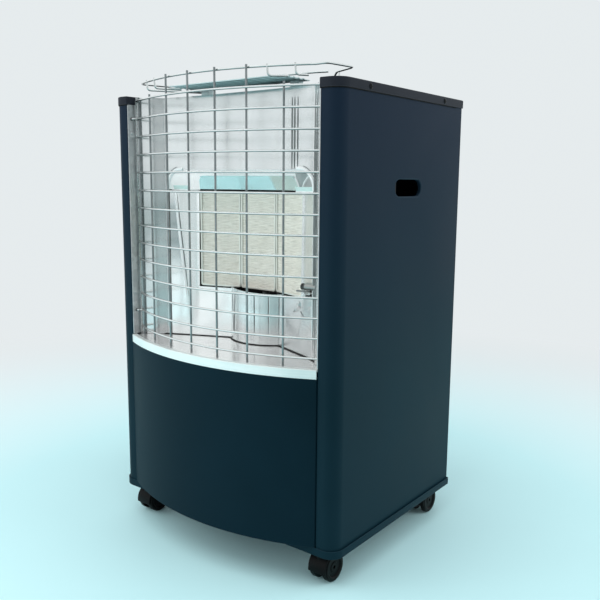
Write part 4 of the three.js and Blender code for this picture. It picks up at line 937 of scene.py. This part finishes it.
def makeArchEdge():
    # The arch's edge is rolled, with a second crease outside it; the roll is painted as a highlight and the
    # crease as a line of painted shade.
    half, top, r = arch["half"], arch["top"], arch["radius"]

    def frontAt(x):
        # the panel's front: one flat run from the middle to 75 mm, and one from there to its wing
        x = abs(x)
        return -120 - 2.5 * x / 75 if x < 75 else -122.5 - (x - 75) * 6.1 / 73

    def edge(offset, foot, reach, lift):
        line = [(half + offset, foot)] + arc(half - r, top - r, r + offset, 0, reach, 16)
        right = [(x, frontAt(x) - lift, z) for x, z in line]
        return [right, [(-x, y, z) for x, y, z in right]]

    roll = wirePiece("archEdgeRoll", edge(1.6, 560, 96, -1.0), 2.8, "brightEdge", 16)
    crease = wirePiece("archEdgeCrease", edge(6.0, 566, 74, 0.1), 0.6, "creaseSheet", 10)
    settle(roll, "brightEdge")
    settle(crease, "creaseSheet")


def makeRecess():
    # The hollow above the plaques: an arched wall, a back plate, and a ledge and an apron at each side.
    sheet, ledgeZ = cabinet["sheet"], arch["ledge"]
    back, front, floor = -73.2, -129.6, ledgeZ + sheet
    outline = archOutline(floor)
    wall = prism("reflectorRecess", strip((outline[1:] + outline[:1])[::-1], sheet), front, back, "xz")
    plan = strip([(x, y + sheet + cabinet["gap"]) for x, y in rounded(reflectorPlan, 7.0, 6)], -60)

    def keepOff():
        return prism("tool", plan, floor - 20, arch["top"] + 20)

    cutAway(wall, keepOff())
    plate = prism("tool", archOutline(floor, sheet), back, back + sheet, "xz")
    lean = strip([(-121.5, ledgeZ + 7.5), (-118.4, ledgeZ - 0.2)], 0.8)
    ledges, aprons = [], []
    for side in (-1, 1):
        a, b = sorted((side * 109.5, side * (arch["half"] + sheet)))
        ledges.append(cutAway(prism("tool", boxOutline(a, b, -120, back + sheet), ledgeZ, floor), keepOff()))
        aprons.append(prism("recessApron", lean, *sorted((side * 109.8, side * 143.5)), "yz"))
    joinPieces(wall, plate, *ledges)
    settle(wall, "innerSheet", stands=["reflector_recess"])
    settle(joinPieces(*aprons), "apronSheet")


def along(points, t):
    # the point at the share t of a line's length
    line = [Vector(p) for p in points]
    steps = [(b - a).length for a, b in zip(line, line[1:])]
    left = t * sum(steps)
    for a, b, step in zip(line, line[1:], steps):
        if left <= step or b is line[-1]:
            return a.lerp(b, min(1.0, left / step))
        left -= step


def makeReflectorSides():
    # The sheet between the arch and the burner: folded above, running out to a smooth surface at its foot.
    outer, foot, joint, high = (146.4, -126.4), shelfTop + 0.4, 400.0, arch["ledge"] - 0.4

    def build(name, creaseFoot, creaseTop):
        upper, lower = [], []
        for i in range(9):
            t = i / 8
            z = joint + (high - joint) * t
            crease = Vector(creaseFoot).lerp(Vector(creaseTop), t)
            inward = [crease, (110.8, -101 + 2 * t), (106.4, -101 + 2 * t - 0.1)]
            upper.append([(*along([outer, crease], k / 6), z) for k in range(7)]
                         + [(*along(inward, k / 8), z) for k in range(1, 9)])
        top = [outer, creaseFoot, (110.8, -101), (45, -82.5)]
        base = [outer, (104, -107.5), (45, -82.4)]
        for i in range(11):
            t = i / 10
            z = joint + 0.2 - (joint + 0.2 - foot) * t
            eased = t * t * (3 - 2 * t)
            lower.append([(*along(top, k / 24).lerp(along(base, k / 24), eased), z) for k in range(25)])
        return joinPieces(gridSheet(name, upper, 1.0), gridSheet(name, lower[::-1], 1.0))

    right = build("reflectorSideRight", (127.6, -113.4), (128.6, -113.2))
    pattern = build("pattern", (118, -115.5), (131, -122.5))
    left = mirror(pattern, "reflectorSideLeft")
    bpy.data.objects.remove(pattern)
    # the pilot's pipe and wires pass the right side only
    cutAway(right, prism("tool", boxOutline(136.8, 145.2, 407, 429, 4), -140, -100, "xz"))
    settle(shade(right, 50), "satinSheet", stands=["reflector_side_right"])
    settle(shade(left, 50), "seamSheet", stands=["reflector_side_left"])


def dart(name, line, width, height, facing, finish="satinSheet"):
    # A raised fold that tapers to nothing at both ends of its line.
    steps = 16
    path = [along(line, k / steps) for k in range(steps + 1)]
    way = Vector(facing).normalized()
    points = []
    for k, middle in enumerate(path):
        swell = math.sin(math.pi * k / steps) ** 0.6 if 0 < k < steps else 0.04
        ahead = (path[min(k + 1, steps)] - path[max(k - 1, 0)]).normalized()
        half = ahead.cross(way).normalized() * width / 2 * swell
        points += [spot(*p) for p in (
            middle - half - way * 0.4, middle - half + way * 0.15, middle + way * height * swell,
            middle + half + way * 0.15, middle + half - way * 0.4)]
    return settle(meshPiece(name, points, ringFaces(5, steps + 1), 40), finish)


def makeFolds():
    # The seam down the left side, and the pleats where the sheet was gathered at the right.
    seam = [(-137.0, -124.4, 557), (-129.2, -120.7, 475), (-120.4, -116.7, 384)]
    # the seam's ridge is painted as a highlight; the thin line inside it and the pleats' fold lines are dark
    # strips of painted shade
    dart("sideSeamOuter", seam, 6.4, 2.6, (-0.1, -1, 0), "brightEdge")
    dart("sideSeamInner", [(x + 3.9, y + 0.6, z) for x, y, z in seam], 1.7, 0.8, (0.1, -1, 0), "creaseSheet")
    dart("footPleatRight", [(113.5, -113.6, 400), (111.5, -112.6, 392), (99.5, -108.4, 381)],
         8.5, 3.6, (0.3, -1, 0.1))
    dart("footPleatFold", [(112, -113.6, 400.5), (109.6, -112.6, 391.5), (97, -108.6, 380.5)],
         1.8, 1.6, (0.1, -1, 0.2), "creaseSheet")
    dart("footPleatLine", [(113.6, -113.4, 386), (119.5, -115.2, 381), (125.4, -117.2, 376.5)],
         1.5, 0.8, (0.1, -1, 0.1), "creaseSheet")
    # the gusset in the arch's right shoulder, painted dark grey: painted shade
    top, depth = 584.5, -118.0
    corners = [(107, depth, top), (120, depth - 3, top + 0.5), (132, depth, top), (117, depth + 1, 558.6)]
    corners += [(x, y + 1.2, z) for x, y, z in corners]
    faces = [(0, 1, 3), (1, 2, 3), (4, 5, 7), (5, 6, 7)]
    faces += [(i, (i + 1) % 4, (i + 1) % 4 + 4, i + 4) for i in range(4)]
    settle(meshPiece("archGusset", [spot(*p) for p in corners], faces, 20), "gussetSheet")
    # the lips round the gusset are painted highlights
    lips = [
        [(106, depth - 0.6, top - 1), (111.5, depth - 0.2, 571), (116.4, depth + 0.4, 560)],
        [(133, depth - 0.6, top - 1), (123.5, depth - 0.2, 572), (118, depth + 0.4, 560)],
        [(137, depth - 2, top + 1), (143, depth - 2, 576), (145, depth - 2, 561)]]
    for number, line in enumerate(lips):
        dart(f"gussetLip{number + 1}", line, 2.6, 1.3, (0, -1, 0), "brightEdge")


unit = {"width": 72.0, "turn": 17.5, "low": 402.0, "high": 155.0, "front": -76.0, "step": 37.0, "rim": 3.0}
hood = {"low": 560.0, "high": 21.0, "lean": 12.0, "corner": 7.0, "narrow": 0.905, "back": -73.8, "roof": 20.0}


def rowLine(back=0.0):
    # The line along the three plaques' fronts, from left to right.
    slope = math.radians(unit["turn"])
    edge = unit["step"] + unit["width"] * math.cos(slope)
    edgeY = unit["front"] - unit["width"] * math.sin(slope)
    return bothSides([(unit["step"], unit["front"] + back), (edge, edgeY + back)])


def makeHood():
    # The visor over the plaques follows their three fronts and leans forward; its upper corners are round.
    h = hood
    foot = rowLine()
    span = sum((Vector(b) - Vector(a)).length for a, b in zip(foot, foot[1:]))
    columns, rows, r = 72, 5, h["corner"]
    grid = []
    for j in range(columns + 1):
        t = j / columns
        base = along(foot, t)
        near = min(t, 1 - t) * span
        tall = h["high"] if near >= r else h["high"] - r + math.sqrt(r * r - (r - near) ** 2)
        rises = [tall / h["high"] * i / rows for i in range(rows + 1)]
        grid.append([(base.x * (1 - (1 - h["narrow"]) * rise), base.y - h["lean"] * rise,
                      h["low"] + h["high"] * rise) for rise in rises])
    face = gridSheet("burnerHood", list(zip(*grid)), 1.0)
    edge = foot[-1][0] * h["narrow"]
    roof = [(x * h["narrow"], y - h["lean"] + 0.8) for x, y in foot] + [(edge, h["back"]), (-edge, h["back"])]
    level = h["low"] + h["roof"]
    joinPieces(face, prism("roof", roof, level, level + 0.9))
    settle(shade(face, 30), "hoodSheet", stands=["burner_hood"])


lowerCover = {
    "half": 50.5, "reach": 20.8, "back": -85.2, "highLeft": 404.6, "highRight": 399.4,
    # where each crease starts at the top and ends at the foot, how deep and how wide it is
    "creases": (
        (-36.5, -33.4, 2.2, 2.3), (-27.0, -30.2, 2.2, 2.3), (16.4, 16.4, 0.8, 0.9), (38.0, 38.0, 0.8, 0.9))}


def makeLowerCover():
    k = lowerCover
    radius = (k["half"] ** 2 + k["reach"] ** 2) / (2 * k["reach"])
    centre = k["back"] - k["reach"] + radius
    low = shelfTop + cabinet["gap"]

    def frontAt(x, out=0.0):
        return centre - math.sqrt((radius + out) ** 2 - x * x)

    rows, columns = 14, 202
    grid = []
    for t in [i / rows for i in range(rows + 1)]:
        line = []
        for j in range(columns + 1):
            x = -k["half"] + 2 * k["half"] * j / columns
            dent = 0
            for head, foot, depth, width in k["creases"]:
                away = abs(x - (foot + (head - foot) * t)) / 1.5
                dent = max(dent, depth * (0.35 + 0.65 * t) * max(0.0, 1 - away))
            high = k["highRight"] + (k["highLeft"] - k["highRight"]) * (k["half"] - x) / (2 * k["half"])
            line.append((x, frontAt(x) + dent, low + (high - low) * t))
        grid.append(line)
    sheet = gridSheet("lowerBurnerCover", grid, 0.8)
    settle(shade(sheet, 30), "satinSheet", stands=["lower_burner_cover"])
    # each crease gets a dark strip: painted shade
    for number, (head, foot, depth, width) in enumerate(k["creases"]):
        line = [(foot, frontAt(foot) - 0.1, low + 14), (head, frontAt(head) - 0.1, k["highRight"] - 1)]
        dart(f"coverCrease{number + 1}", line, width * 0.8, 0.45, (0, -1, 0), "creaseSheet")
    # a thin black strip runs along the foot of the sheets, on the shelf: painted shade in the gap there
    bulge = [(x, frontAt(x, 0.5)) for x in [-49 + 98 * n / 24 for n in range(25)]]
    right = [(53, -87), (104, -108.6), (147, -127.8), (168, -141.2), (187, -154.3)]
    line = bothSides(right, bulge)[::-1]
    shadeStrip = prism("footSeal", strip(line, 0.9), shelfTop + 0.1, shelfTop + 1.3)
    settle(shadeStrip, "blackSeal")


def unitPlace(which):
    slope = math.radians(unit["turn"])
    x = unit["step"] + unit["width"] * math.cos(slope) / 2
    y = unit["front"] - unit["width"] * math.sin(slope) / 2
    return {"left": (-x, y, slope), "centre": (0, unit["front"], 0), "right": (x, y, -slope)}[which]


def seat(piece, which):
    # A piece drawn with its front at y 0 and its foot at z 0 goes to its place in the row of three.
    x, y, turn = unitPlace(which)
    place = Matrix.Translation(spot(x, y, unit["low"])) @ Matrix.Rotation(turn, 4, "Z")
    piece.data.transform(place @ Matrix.Translation((0, -midY, 0)))
    return piece


plaque = {"inset": 1.8, "face": 1.8, "groove": 2.45, "back": 11.5, "rows": 62}


def makeRidges(name):
    # The plaque's face: fine level ridges between the bores' rows, with a map in millimetres.
    p = plaque
    half = unit["width"] / 2 - p["inset"]
    low, high = p["inset"], unit["high"] - p["inset"]
    pitch = (high - low) / p["rows"]
    line = [(p["back"], low), (p["face"], low)]
    for i in range(p["rows"]):
        foot = low + i * pitch
        line += [(y, foot + share * pitch) for y, share in (
            (p["face"], 0.52), (p["groove"], 0.62), (p["groove"], 0.9), (p["face"], 1))]
    line.append((p["back"], high))
    columns = (-half, -half / 2, 0, half / 2, half)
    points = [spot(x, y, z) for x in columns for y, z in line]
    piece = meshPiece(name, points, ringFaces(len(line), len(columns)), 20)
    cover = piece.data.uv_layers.new(name="face")
    for loop in piece.data.loops:
        place = piece.data.vertices[loop.vertex_index].co
        cover.data[loop.index].uv = (place.x / mm, place.z / mm)
    return piece


def makeFrame(name):
    w, h, rim = unit["width"] / 2, unit["high"], unit["rim"]
    outer = boxOutline(-w, w, 0, h, 4.0, 8)
    face = prism(name, outer, 0, 1.4, "xz")
    cutAway(face, prism("tool", boxOutline(-w + rim, w - rim, rim, h - rim, 3.0, 8), -2, 4, "xz"))
    wall = prism("tool", outer, 1.35, 12, "xz")
    cutAway(wall, prism("tool", boxOutline(-w + 1.4, w - 1.4, 1.4, h - 1.4, 2.6, 6), 0, 20, "xz"))
    joinPieces(face, wall)
    return soften(face, 0.55, 3)


def makeBurner():
    for which in ("left", "centre", "right"):
        settle(seat(makeRidges("ceramicPlaque" + which.capitalize()), which), "plaqueCeramic",
               stands=["ceramic_plaque_" + which])
        rim = bake(makeFrame("plaqueFrame" + which.capitalize()))
        settle(shade(seat(rim, which)), "frameSteel", stands=["plaque_frame_" + which])
    top = unit["low"] + unit["high"]
    # a black strip over the plaques: painted shade in the gap under the hood
    shadeStrip = prism("burnerSealTop", strip(rowLine(0.6), 3.0), top + 0.15, top + 2.9)
    settle(shadeStrip, "blackSeal")
    # the black strip under the middle plaque, painted shade in the gap there, widens towards the right
    low, y = unit["low"], unit["front"]
    wedge = [(-42, low - 0.2), (-42, low - 0.7), (38, low - 2.8), (44, low - 2.8), (38, low - 0.2)]
    settle(prism("burnerSealFoot", wedge, y - 0.6, y + 2.4, "xz"), "blackSeal")


pilot = {"y": -125.0, "z": 424.0, "nose": 126.5, "neck": 135.7, "radius": 4.8}
electrode = {"x": 126.5, "y": -117.5, "z": 414.6}


def makePilot():
    # A ribbed nozzle on a tube that goes out through the sheet; the electrode sits under it.
    p, e = pilot, electrode
    r = p["radius"]
    profile = [
        (0, 0), (r - 2, 0), (r, 0.4), (r, 2.2), (r - 1.3, 2.6), (r - 1.3, 5.6), (r, 6.0), (r, 8.4),
        (r - 1, 9), (0, 9)]
    nozzle = lathe("pilotBurner", profile, (p["nose"], p["y"], p["z"]), "x", 32)
    settle(nozzle, "nozzleSteel", stands=["pilot_burner"])
    tube = lathe("pilotTube", cylinder(r + 0.6, 0, 24), (p["neck"], p["y"] - 2, p["z"] + 1), "x", 32)
    settle(tube, "pilotSteel")
    profile = [(0, 0), (0.8, 0), (0.8, 6), (1.9, 6.4), (1.9, 20), (0, 20)]
    rod = lathe("ignitionElectrode", profile, (e["x"], e["y"], e["z"]), "x", 20)
    settle(rod, "glazedCeramic", stands=["ignition_electrode"])


guard = {
    "radius": 1.6, "inset": 18.0, "bars": (-184, -134, -80, -27, 27, 80, 134, 184),
    "top": 698.0, "pitch": 28.2, "rungs": 14, "bite": 0.3, "railY": -165.5}
tray = {
    "high": 725.0, "half": 192.0, "rim": 1.7,
    "hookTops": (-151, -122, 107, 145),
    "hookEnds": ((-105, -91), (-104, -137), (127, -160), (155, -152))}


def rungHeight(i):
    return guard["top"] - i * guard["pitch"] + (0.2 if i else 0.0)


def makeGuard():
    g = guard
    outer = g["bars"][-1]
    paths, bars, beads = [], [], []
    back = 2 * g["radius"] - g["bite"]
    for i in range(g["rungs"]):
        z = rungHeight(i)
        if i in (1, g["rungs"] - 2):
            for side in (-1, 1):
                x, y = side * outer, bowY(outer, g["inset"])
                hook = [(x, y, z), (x + side * 2, g["railY"], z), (side * 190.2, g["railY"], z)]
                paths.append(rounded(hook, 3.0, 6))
        paths.append([(x, y, z) for x, y in bowLine(g["inset"], outer + 2.2, 44)])
    for x in g["bars"]:
        turn = math.asin(x / (bow["radius"] - g["inset"]))
        y = bowY(x, g["inset"])
        seatX, seatY = x - back * math.sin(turn), y + back * math.cos(turn)
        high = tray["high"] + 3 if abs(x) < 100 else g["top"] + 6
        bars.append([(seatX, seatY, shelfTop - 3.4), (seatX, seatY, high)])
        weld = (x - back / 2 * math.sin(turn), y + back / 2 * math.cos(turn))
        facing = (math.sin(turn), -math.cos(turn), 0)
        beads += [((*weld, rungHeight(i)), facing) for i in range(g["rungs"])]
    rungs = wirePiece("wireGuardRungs", paths, g["radius"], "platedWire")
    uprights = wirePiece("wireGuardBars", bars, g["radius"], "platedBar")
    profile = [(0, 0.75), (0.85, 0.5), (1.25, 0), (0.85, -0.5), (0, -0.75)]
    bead = toOrigin(lathe("beadShape", profile, (0, 0, 0), "z", 8))
    welds = scatter("guardWelds", bead, beads, "platedWire")
    settle(rungs, "platedWire", stands=["wire_guard"])
    settle(uprights, "platedBar")
    settle(welds, "platedWire")


def makeTray():
    # The rim runs back from a tight bend at each end; four hooks drop from it and end free.
    g, t = guard, tray
    inset = g["inset"] + 0.9 + 4 * g["radius"] - 0.5 + 0.3
    high = t["high"]
    front = [(x, y, high) for x, y in bowLine(inset, t["half"] - 22, 36)]
    left = rounded([front[0], (-179.5, -150.5, high), (-171, -121, high), (-166, -105, high)], 7, 6)
    right = rounded([front[-1], (190, -157.5, high), (196.5, -107.0, high), (158.8, -87.4, high)], 8, 8)
    rear = rounded([(-166, -105, high), (0, -104, high), (120, -100, high), (146, -94, high)], 14, 6)
    rim = rear[::-1] + left[::-1][1:] + front[1:-1] + right
    rim += [(153, -84.5, high - 0.8), (149.5, -83.6, high - 4.5)]
    floorAt = high - 12.6
    hooks = []
    for x, (endX, endY) in zip(t["hookTops"], t["hookEnds"]):
        y = bowY(x, inset) + 0.2
        bend = (x + 0.6, y + 1.2, floorAt)
        hooks.append(rounded([(x, y - 0.4, high + 2.6), bend, (endX, endY, floorAt + 0.2)], 5, 8))
    hooks.append([(158.8, -86.6, cabinet["lidTop"] + 0.4), (158.8, -86.6, high)])
    ring = wirePiece("guardTopTrayRim", [rim], t["rim"], "platedWire")
    floor = wirePiece("guardTopTray", hooks, g["radius"], "platedWire")
    settle(floor, "platedWire", stands=["guard_top_tray"])
    settle(ring, "platedWire")


deflector = {
    "level": 715.2, "front": -157.0, "back": -89.0, "half": 110.0, "pitch": 11, "legs": (-90, 90),
    "ridge": ((-3, 0), (-1.4, 0.9), (0, 1.3), (1.4, 0.9), (3, 0))}


def makeDeflector():
    d = deflector
    level, front, back, half = d["level"], d["front"], d["back"], d["half"]
    path = [(front, level)]
    for i in range(5):
        y = front + 9 + i * d["pitch"]
        path += [(y + off, level + lift) for off, lift in d["ridge"]]
    path.append((back, level))
    plate = prism("topDeflector", strip(path, cabinet["sheet"]), -half, half, "yz")
    legs = []
    for x in d["legs"]:
        leg = boxOutline(x - 8, x + 8, back - 10, back)
        legs.append(prism("leg", leg, cabinet["lidTop"] + 0.4, level + 0.2))
    joinPieces(plate, *legs)
    settle(plate, "deflectorSheet", stands=["top_deflector"])
    # the ribs are dark strips: painted shade
    for i in range(6):
        y = front + 4 + i * d["pitch"]
        line = [(4 - half, y, level), (half - 4, y, level)]
        dart(f"deflectorRib{i + 1}", line, 2.4, 1.3, (0, 0, -1), "ribSheet")


knob = {"x": 128.0, "y": 96.0, "foot": 710.5, "hole": 6.0}
button = {"x": 128.0, "y": 30.0, "hole": 8.5}


def makeKnob():
    k = knob
    profile = [
        (0, 6.2), (13.5, 6.2), (15.6, 5.7), (17.0, 4.4), (17.8, 2.2), (18, 1.2), (17.6, 0.3), (17, 0),
        (4.4, 0), (4.4, 4), (0, 4)]
    skirt = lathe("controlKnob", profile, (k["x"], k["y"], k["foot"]), "z", 72)
    bar = prism("tool", boxOutline(-14.5, 14.5, -3.6, 3.6, 3.5, 8), k["foot"] + 5.2, k["foot"] + 11)
    mark = prism("knobPointer", boxOutline(-14.2, -5, -0.7, 0.7, 0.6, 3), k["foot"] + 10.8, k["foot"] + 11.0)
    for piece in (bar, mark):
        piece.data.transform(Matrix.Translation((k["x"] * mm, k["y"] * mm, 0)))
    bake(soften(bar, 0.8, 3))
    ribs = []
    profile = [(0, 0.6), (0.9, 0.6), (0.9, 4.1), (0.5, 4.6), (0, 4.8)]
    for i in range(24):
        angle = 2 * math.pi * i / 24
        x, y = k["x"] + 16.9 * math.cos(angle), k["y"] + 16.9 * math.sin(angle)
        ribs.append(lathe("rib", profile, (x, y, k["foot"]), "z", 8))
    joinPieces(skirt, bar, *ribs)
    settle(skirt, "blackPlastic", "control_knob", stands=["control_knob"])
    settle(mark, "whiteMark", "control_knob")


def makeButton():
    points = [(0, 0), (5, 0), (5, 8), (7.6, 8), (7.6, 18.2), (7.3, 19.2), (6.4, 19.9), (4.5, 19.6), (0, 19.3)]
    cap = lathe("igniterButton", points, (button["x"], button["y"], cabinet["lidTop"] - 11))
    settle(cap, "redPlastic", "igniter_button", stands=["igniter_button"])


def makeDial():
    # Plain dots of growing size on the lid, along the knob's sweep.
    marks = []
    for angle, size in ((180, 1.0), (250, 1.3), (320, 1.7), (390, 2.1)):
        a = math.radians(angle)
        place = (knob["x"] + 24 * math.cos(a), knob["y"] + 24 * math.sin(a), cabinet["lidTop"])
        marks.append(lathe("dialDots", cylinder(size, 0, 0.12), place, "z", 20))
    settle(joinPieces(*marks), "whiteMark")


caster = {"radius": 21.5, "width": 9.0, "inner": 6.8, "trail": 14.0}
casterPlaces = {
    f"{end}_{side}": (x, y) for end, y in (("front", -154), ("rear", 138))
    for side, x in (("left", -187), ("right", 187))}


def makeCasters():
    k = caster
    r, w, t = k["radius"], k["width"], k["trail"]
    wide = k["inner"] + w
    tread = [
        (2.7, 0.3), (r - 4, 0.3), (r - 3.4, 0), (r - 0.8, 0), (r, 0.9), (r, w - 2.4), (r - 0.5, w - 1),
        (r - 1.8, w), (r - 5.6, w), (r - 6.4, w - 0.5), (r - 7.6, w - 2.2), (8, w - 2.5), (7.4, w - 1.6),
        (5, w - 1.4), (2.7, w - 1.6)]
    pin = [(0, wide - 1), (2.2, wide - 1), (2.5, wide - 1.4)]
    pin = [(a, -b) for a, b in pin] + pin[::-1]
    for name, (x, y) in casterPlaces.items():
        short = "".join(part.capitalize() for part in name.split("_"))
        for letter, side in (("a", -1), ("b", 1)):
            profile = [(a, side * (k["inner"] + b)) for a, b in tread]
            wheel = lathe(f"casterWheel{letter.upper()}{short}", profile, (x, y + t, r), "x", 48, True, 30)
            settle(wheel, "blackPlastic", f"wheel_{letter}_{name}", stands=[f"caster_wheel_{letter}_{name}"])
        outer, inner = r + 3.4, r + 1.2
        rim = arc(y + t, r, outer, 27, 189, 30) + arc(y + t, r, inner, 27, 189, 30)[::-1]
        web = arc(y + t, r, inner + 0.6, 27, 189, 30) + arc(y + t, r, 6, 198, 378, 14)
        hood = prism("casterHood" + short, rim, x - wide + 0.6, x + wide - 0.6, "yz")
        bake(soften(hood, 0.6, 3))
        middle = prism("tool", web, x - k["inner"] + 0.8, x + k["inner"] - 0.8, "yz")
        boss = lathe("tool", [(0, 30), (6, 30), (6, 46.4), (5.5, 46.9), (0, 46.9)], (x, y, 0), "z", 28)
        joinPieces(hood, middle, boss, lathe("tool", pin, (x, y + t, r), "x", 20))
        cutAway(hood, lathe("tool", cylinder(4.5, 25, 50), (x, y, 0), "z", 28))
        settle(hood, "blackPlastic", "caster_" + name, stands=["caster_hood_" + name])


def makeFasteners():
    c = cabinet
    lidScrews, rivets = [], []
    for side in (-1, 1):
        lidScrews += [((side * (c["lidHalf"] - 0.05), y, 698), (side, 0, 0)) for y in (-106, 109)]
        rail = side * (c["opening"] - c["gap"] - c["sheet"])
        rivets += [((rail, guard["railY"], z), (-side, 0, 0)) for z in (648, 389)]
    lidScrews += [((x, c["deep"] - 0.05, 698), (0, 1, 0)) for x in (-190, -95, 0, 95, 190)]
    settle(scatter("lidScrews", headShape("panHead", 4.2, 1.2), lidScrews, "blackScrew"), "blackScrew")
    settle(scatter("railRivets", headShape("rivetHead", 2.6, 1.1, False), rivets, "zincSheet"), "zincSheet")


# the frame's own nodes that stay, by finish
carried = {
    "shelfSheet": ["burner_shelf"],
    "zincSheet": ["guard_rail_right", "guard_rail_left", "rear_cross_rail", "tap_bracket"],
    # the heat shield's zinc is painted near black: painted shade
    "sootedZinc": ["heat_shield"],
    "burnerSteel": [
        "burner_body_left", "burner_body_centre", "burner_body_right", "tap_spindle", "flame_sensor",
        *("caster_stem_" + place for place in casterPlaces)],
    "tapBrass": ["injector_manifold", "gas_tap"],
    "blackPlastic": ["piezo_igniter", "ignition_lead"],
    "pipeCopper": ["gas_pipe_burner"],
    "trimAluminium": ["gas_pipe_pilot"]}
for finish, nodes in carried.items():
    for node in nodes:
        wear(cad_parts[node], finish)

makeLid()
makeBase()
makeSides()
makeFront()
makeRearCover()
print("cabinet made")
makeReflector()
makeArchEdge()
makeRecess()
makeReflectorSides()
makeFolds()
makeHood()
makeLowerCover()
makeBurner()
makePilot()
print("burner made")
makeGuard()
makeTray()
makeDeflector()
print("guard made")
makeKnob()
makeButton()
makeDial()
makeCasters()
makeFasteners()
print("controls, casters and fasteners made")


studio = {
    "pale": (0.79, 0.835, 0.85), "aqua": (0.56, 0.86, 0.895), "deepAqua": (0.50, 0.81, 0.85),
    "dusk": (0.13, 0.33, 0.335), "light": (0.95, 0.985, 1.0), "near": 0.55, "far": 1.7,
    "fill": 0.55, "room": 0.98, "overhead": 0.14, "window": 0.14, "shade": 0.40, "floorShade": 0.60}


def seenRays(book):
    # camera, mirror and glass rays: they show the pale background as it is
    path = book.add("ShaderNodeLightPath", out="Is Camera Ray")
    return path + path.of("Is Glossy Ray") + path.of("Is Transmission Ray")


def makeStage():
    s = studio
    ring = [(14 * math.cos(math.tau * k / 96), 14 * math.sin(math.tau * k / 96), 0) for k in range(96)]
    floor = drawn("floor", ring, [], [tuple(range(96))])
    book = Finish("floorFinish")
    apart = book.add("ShaderNodeVectorMath", {"operation": "LENGTH"}, {0: book.spotOn}, "Value")
    direct = book.add("ShaderNodeLightPath", out="Is Camera Ray")
    fade = book.ramp(apart, s["near"], s["far"]) * direct
    fade = fade + book.ramp(apart, 1.6, 4.5) * (1 - direct)
    near = book.tint(book.noise(1.6, 3.0) * 0.3, s["aqua"], s["deepAqua"])
    coat = book.add("ShaderNodeBsdfPrincipled", {}, {
        "Base Color": book.tint(fade, near, s["pale"]), "Roughness": 0.55, "Specular IOR Level": 0.2})
    glow = book.add("ShaderNodeEmission", {}, {"Color": s["pale"], "Strength": 1.0})
    shown = book.add("ShaderNodeMixShader", {}, {0: fade * seenRays(book), 1: coat, 2: glow})
    # mirrors see the floor darker where the viewer stands
    dusk = book.add("ShaderNodeEmission", {}, {"Color": s["dusk"], "Strength": 1.0})
    out = book.add("ShaderNodeVectorMath", {"operation": "NORMALIZE"}, {0: book.spotOn})
    share = book.ramp(book.dot(out, (0.62, -0.78, 0.0)), 0.70, 1.0) * s["floorShade"]
    mixed = book.add("ShaderNodeMixShader", {}, {0: direct.of("Is Glossy Ray") * share, 1: shown, 2: dusk})
    book.add("ShaderNodeOutputMaterial", {}, {"Surface": mixed})
    floor.data.materials.append(book.material)


def makeWorld():
    # Mirrors see a room that is lighter overhead and at the window, and darker behind the viewer.
    s = studio
    world = bpy.data.worlds.new("studio")
    bpy.context.scene.world = world
    world.use_nodes = True
    book = Book(world.node_tree)
    book.tree.nodes.clear()
    path = book.add("ShaderNodeLightPath", out="Is Camera Ray")
    way = book.add("ShaderNodeSeparateXYZ", {}, {0: book.add("ShaderNodeTexCoord", out="Generated")})
    overhead = book.ramp(way.of("Z"), 0.1, 0.9) * s["overhead"]
    window = book.ramp(way * -0.86 + way.of("Y") * -0.5, 0.1, 0.9) * s["window"]
    viewer = book.ramp(way * 0.62 + way.of("Y") * -0.78, 0.74, 1.0) * s["shade"]
    mirrored = s["room"] + overhead + window - viewer
    lit, seen, glossy = (
        book.add("ShaderNodeBackground", {}, {"Color": colour, "Strength": strength})
        for colour, strength in ((s["light"], s["fill"]), (s["pale"], 1.0), (s["pale"], mirrored)))
    bounced = path.of("Is Glossy Ray") + path.of("Is Transmission Ray")
    first = book.add("ShaderNodeMixShader", {}, {0: bounced, 1: lit, 2: glossy})
    mixed = book.add("ShaderNodeMixShader", {}, {0: path, 1: first, 2: seen})
    book.add("ShaderNodeOutputWorld", {}, {"Surface": mixed})


def makeLamp(name, place, aim, size, power):
    data = bpy.data.lights.new(name, "AREA")
    data.shape = "RECTANGLE"
    data.size, data.size_y = size
    data.energy = power
    lamp = linked(name, data)
    lamp.location = place
    lamp.rotation_euler = (Vector(aim) - Vector(place)).to_track_quat("-Z", "Y").to_euler()
    lamp.visible_glossy = False  # the room's own gradient is what the metal mirrors


view = {"place": (0.7597, -0.9635, 0.5714), "yaw": -0.655, "pitch": -0.159, "roll": 0.008, "lens": 43.87}


def makeCamera():
    yaw, pitch, roll = view["yaw"], view["pitch"], view["roll"]
    ahead = Vector((math.sin(yaw) * math.cos(pitch), math.cos(yaw) * math.cos(pitch), math.sin(pitch)))
    level = Vector((math.cos(yaw), -math.sin(yaw), 0))
    over = level.cross(ahead)
    right = level * math.cos(roll) + over * math.sin(roll)
    up = over * math.cos(roll) - level * math.sin(roll)
    data = bpy.data.cameras.new("camera")
    data.lens = view["lens"]
    data.sensor_width = 36.0
    camera = linked("camera", data)
    turn = Matrix((right, up, -ahead)).transposed().to_4x4()
    camera.matrix_world = Matrix.Translation(view["place"]) @ turn
    bpy.context.scene.camera = camera


makeStage()
makeWorld()
makeLamp("windowLeft", (-1.9, -1.3, 1.3), (0, 0, 0.4), (2.0, 2.0), 23)
makeLamp("wallRight", (1.7, 0.9, 1.2), (0, 0, 0.35), (1.8, 1.8), 21)
makeLamp("ceiling", (0.1, -0.5, 2.3), (0, 0, 0), (2.4, 2.4), 24)
makeLamp("frontFill", (-0.5, -2.3, 1.1), (0, 0, 0.4), (2.2, 1.8), 14)
makeCamera()
bpy.context.scene.view_settings.view_transform = "Standard"
print("stage set")
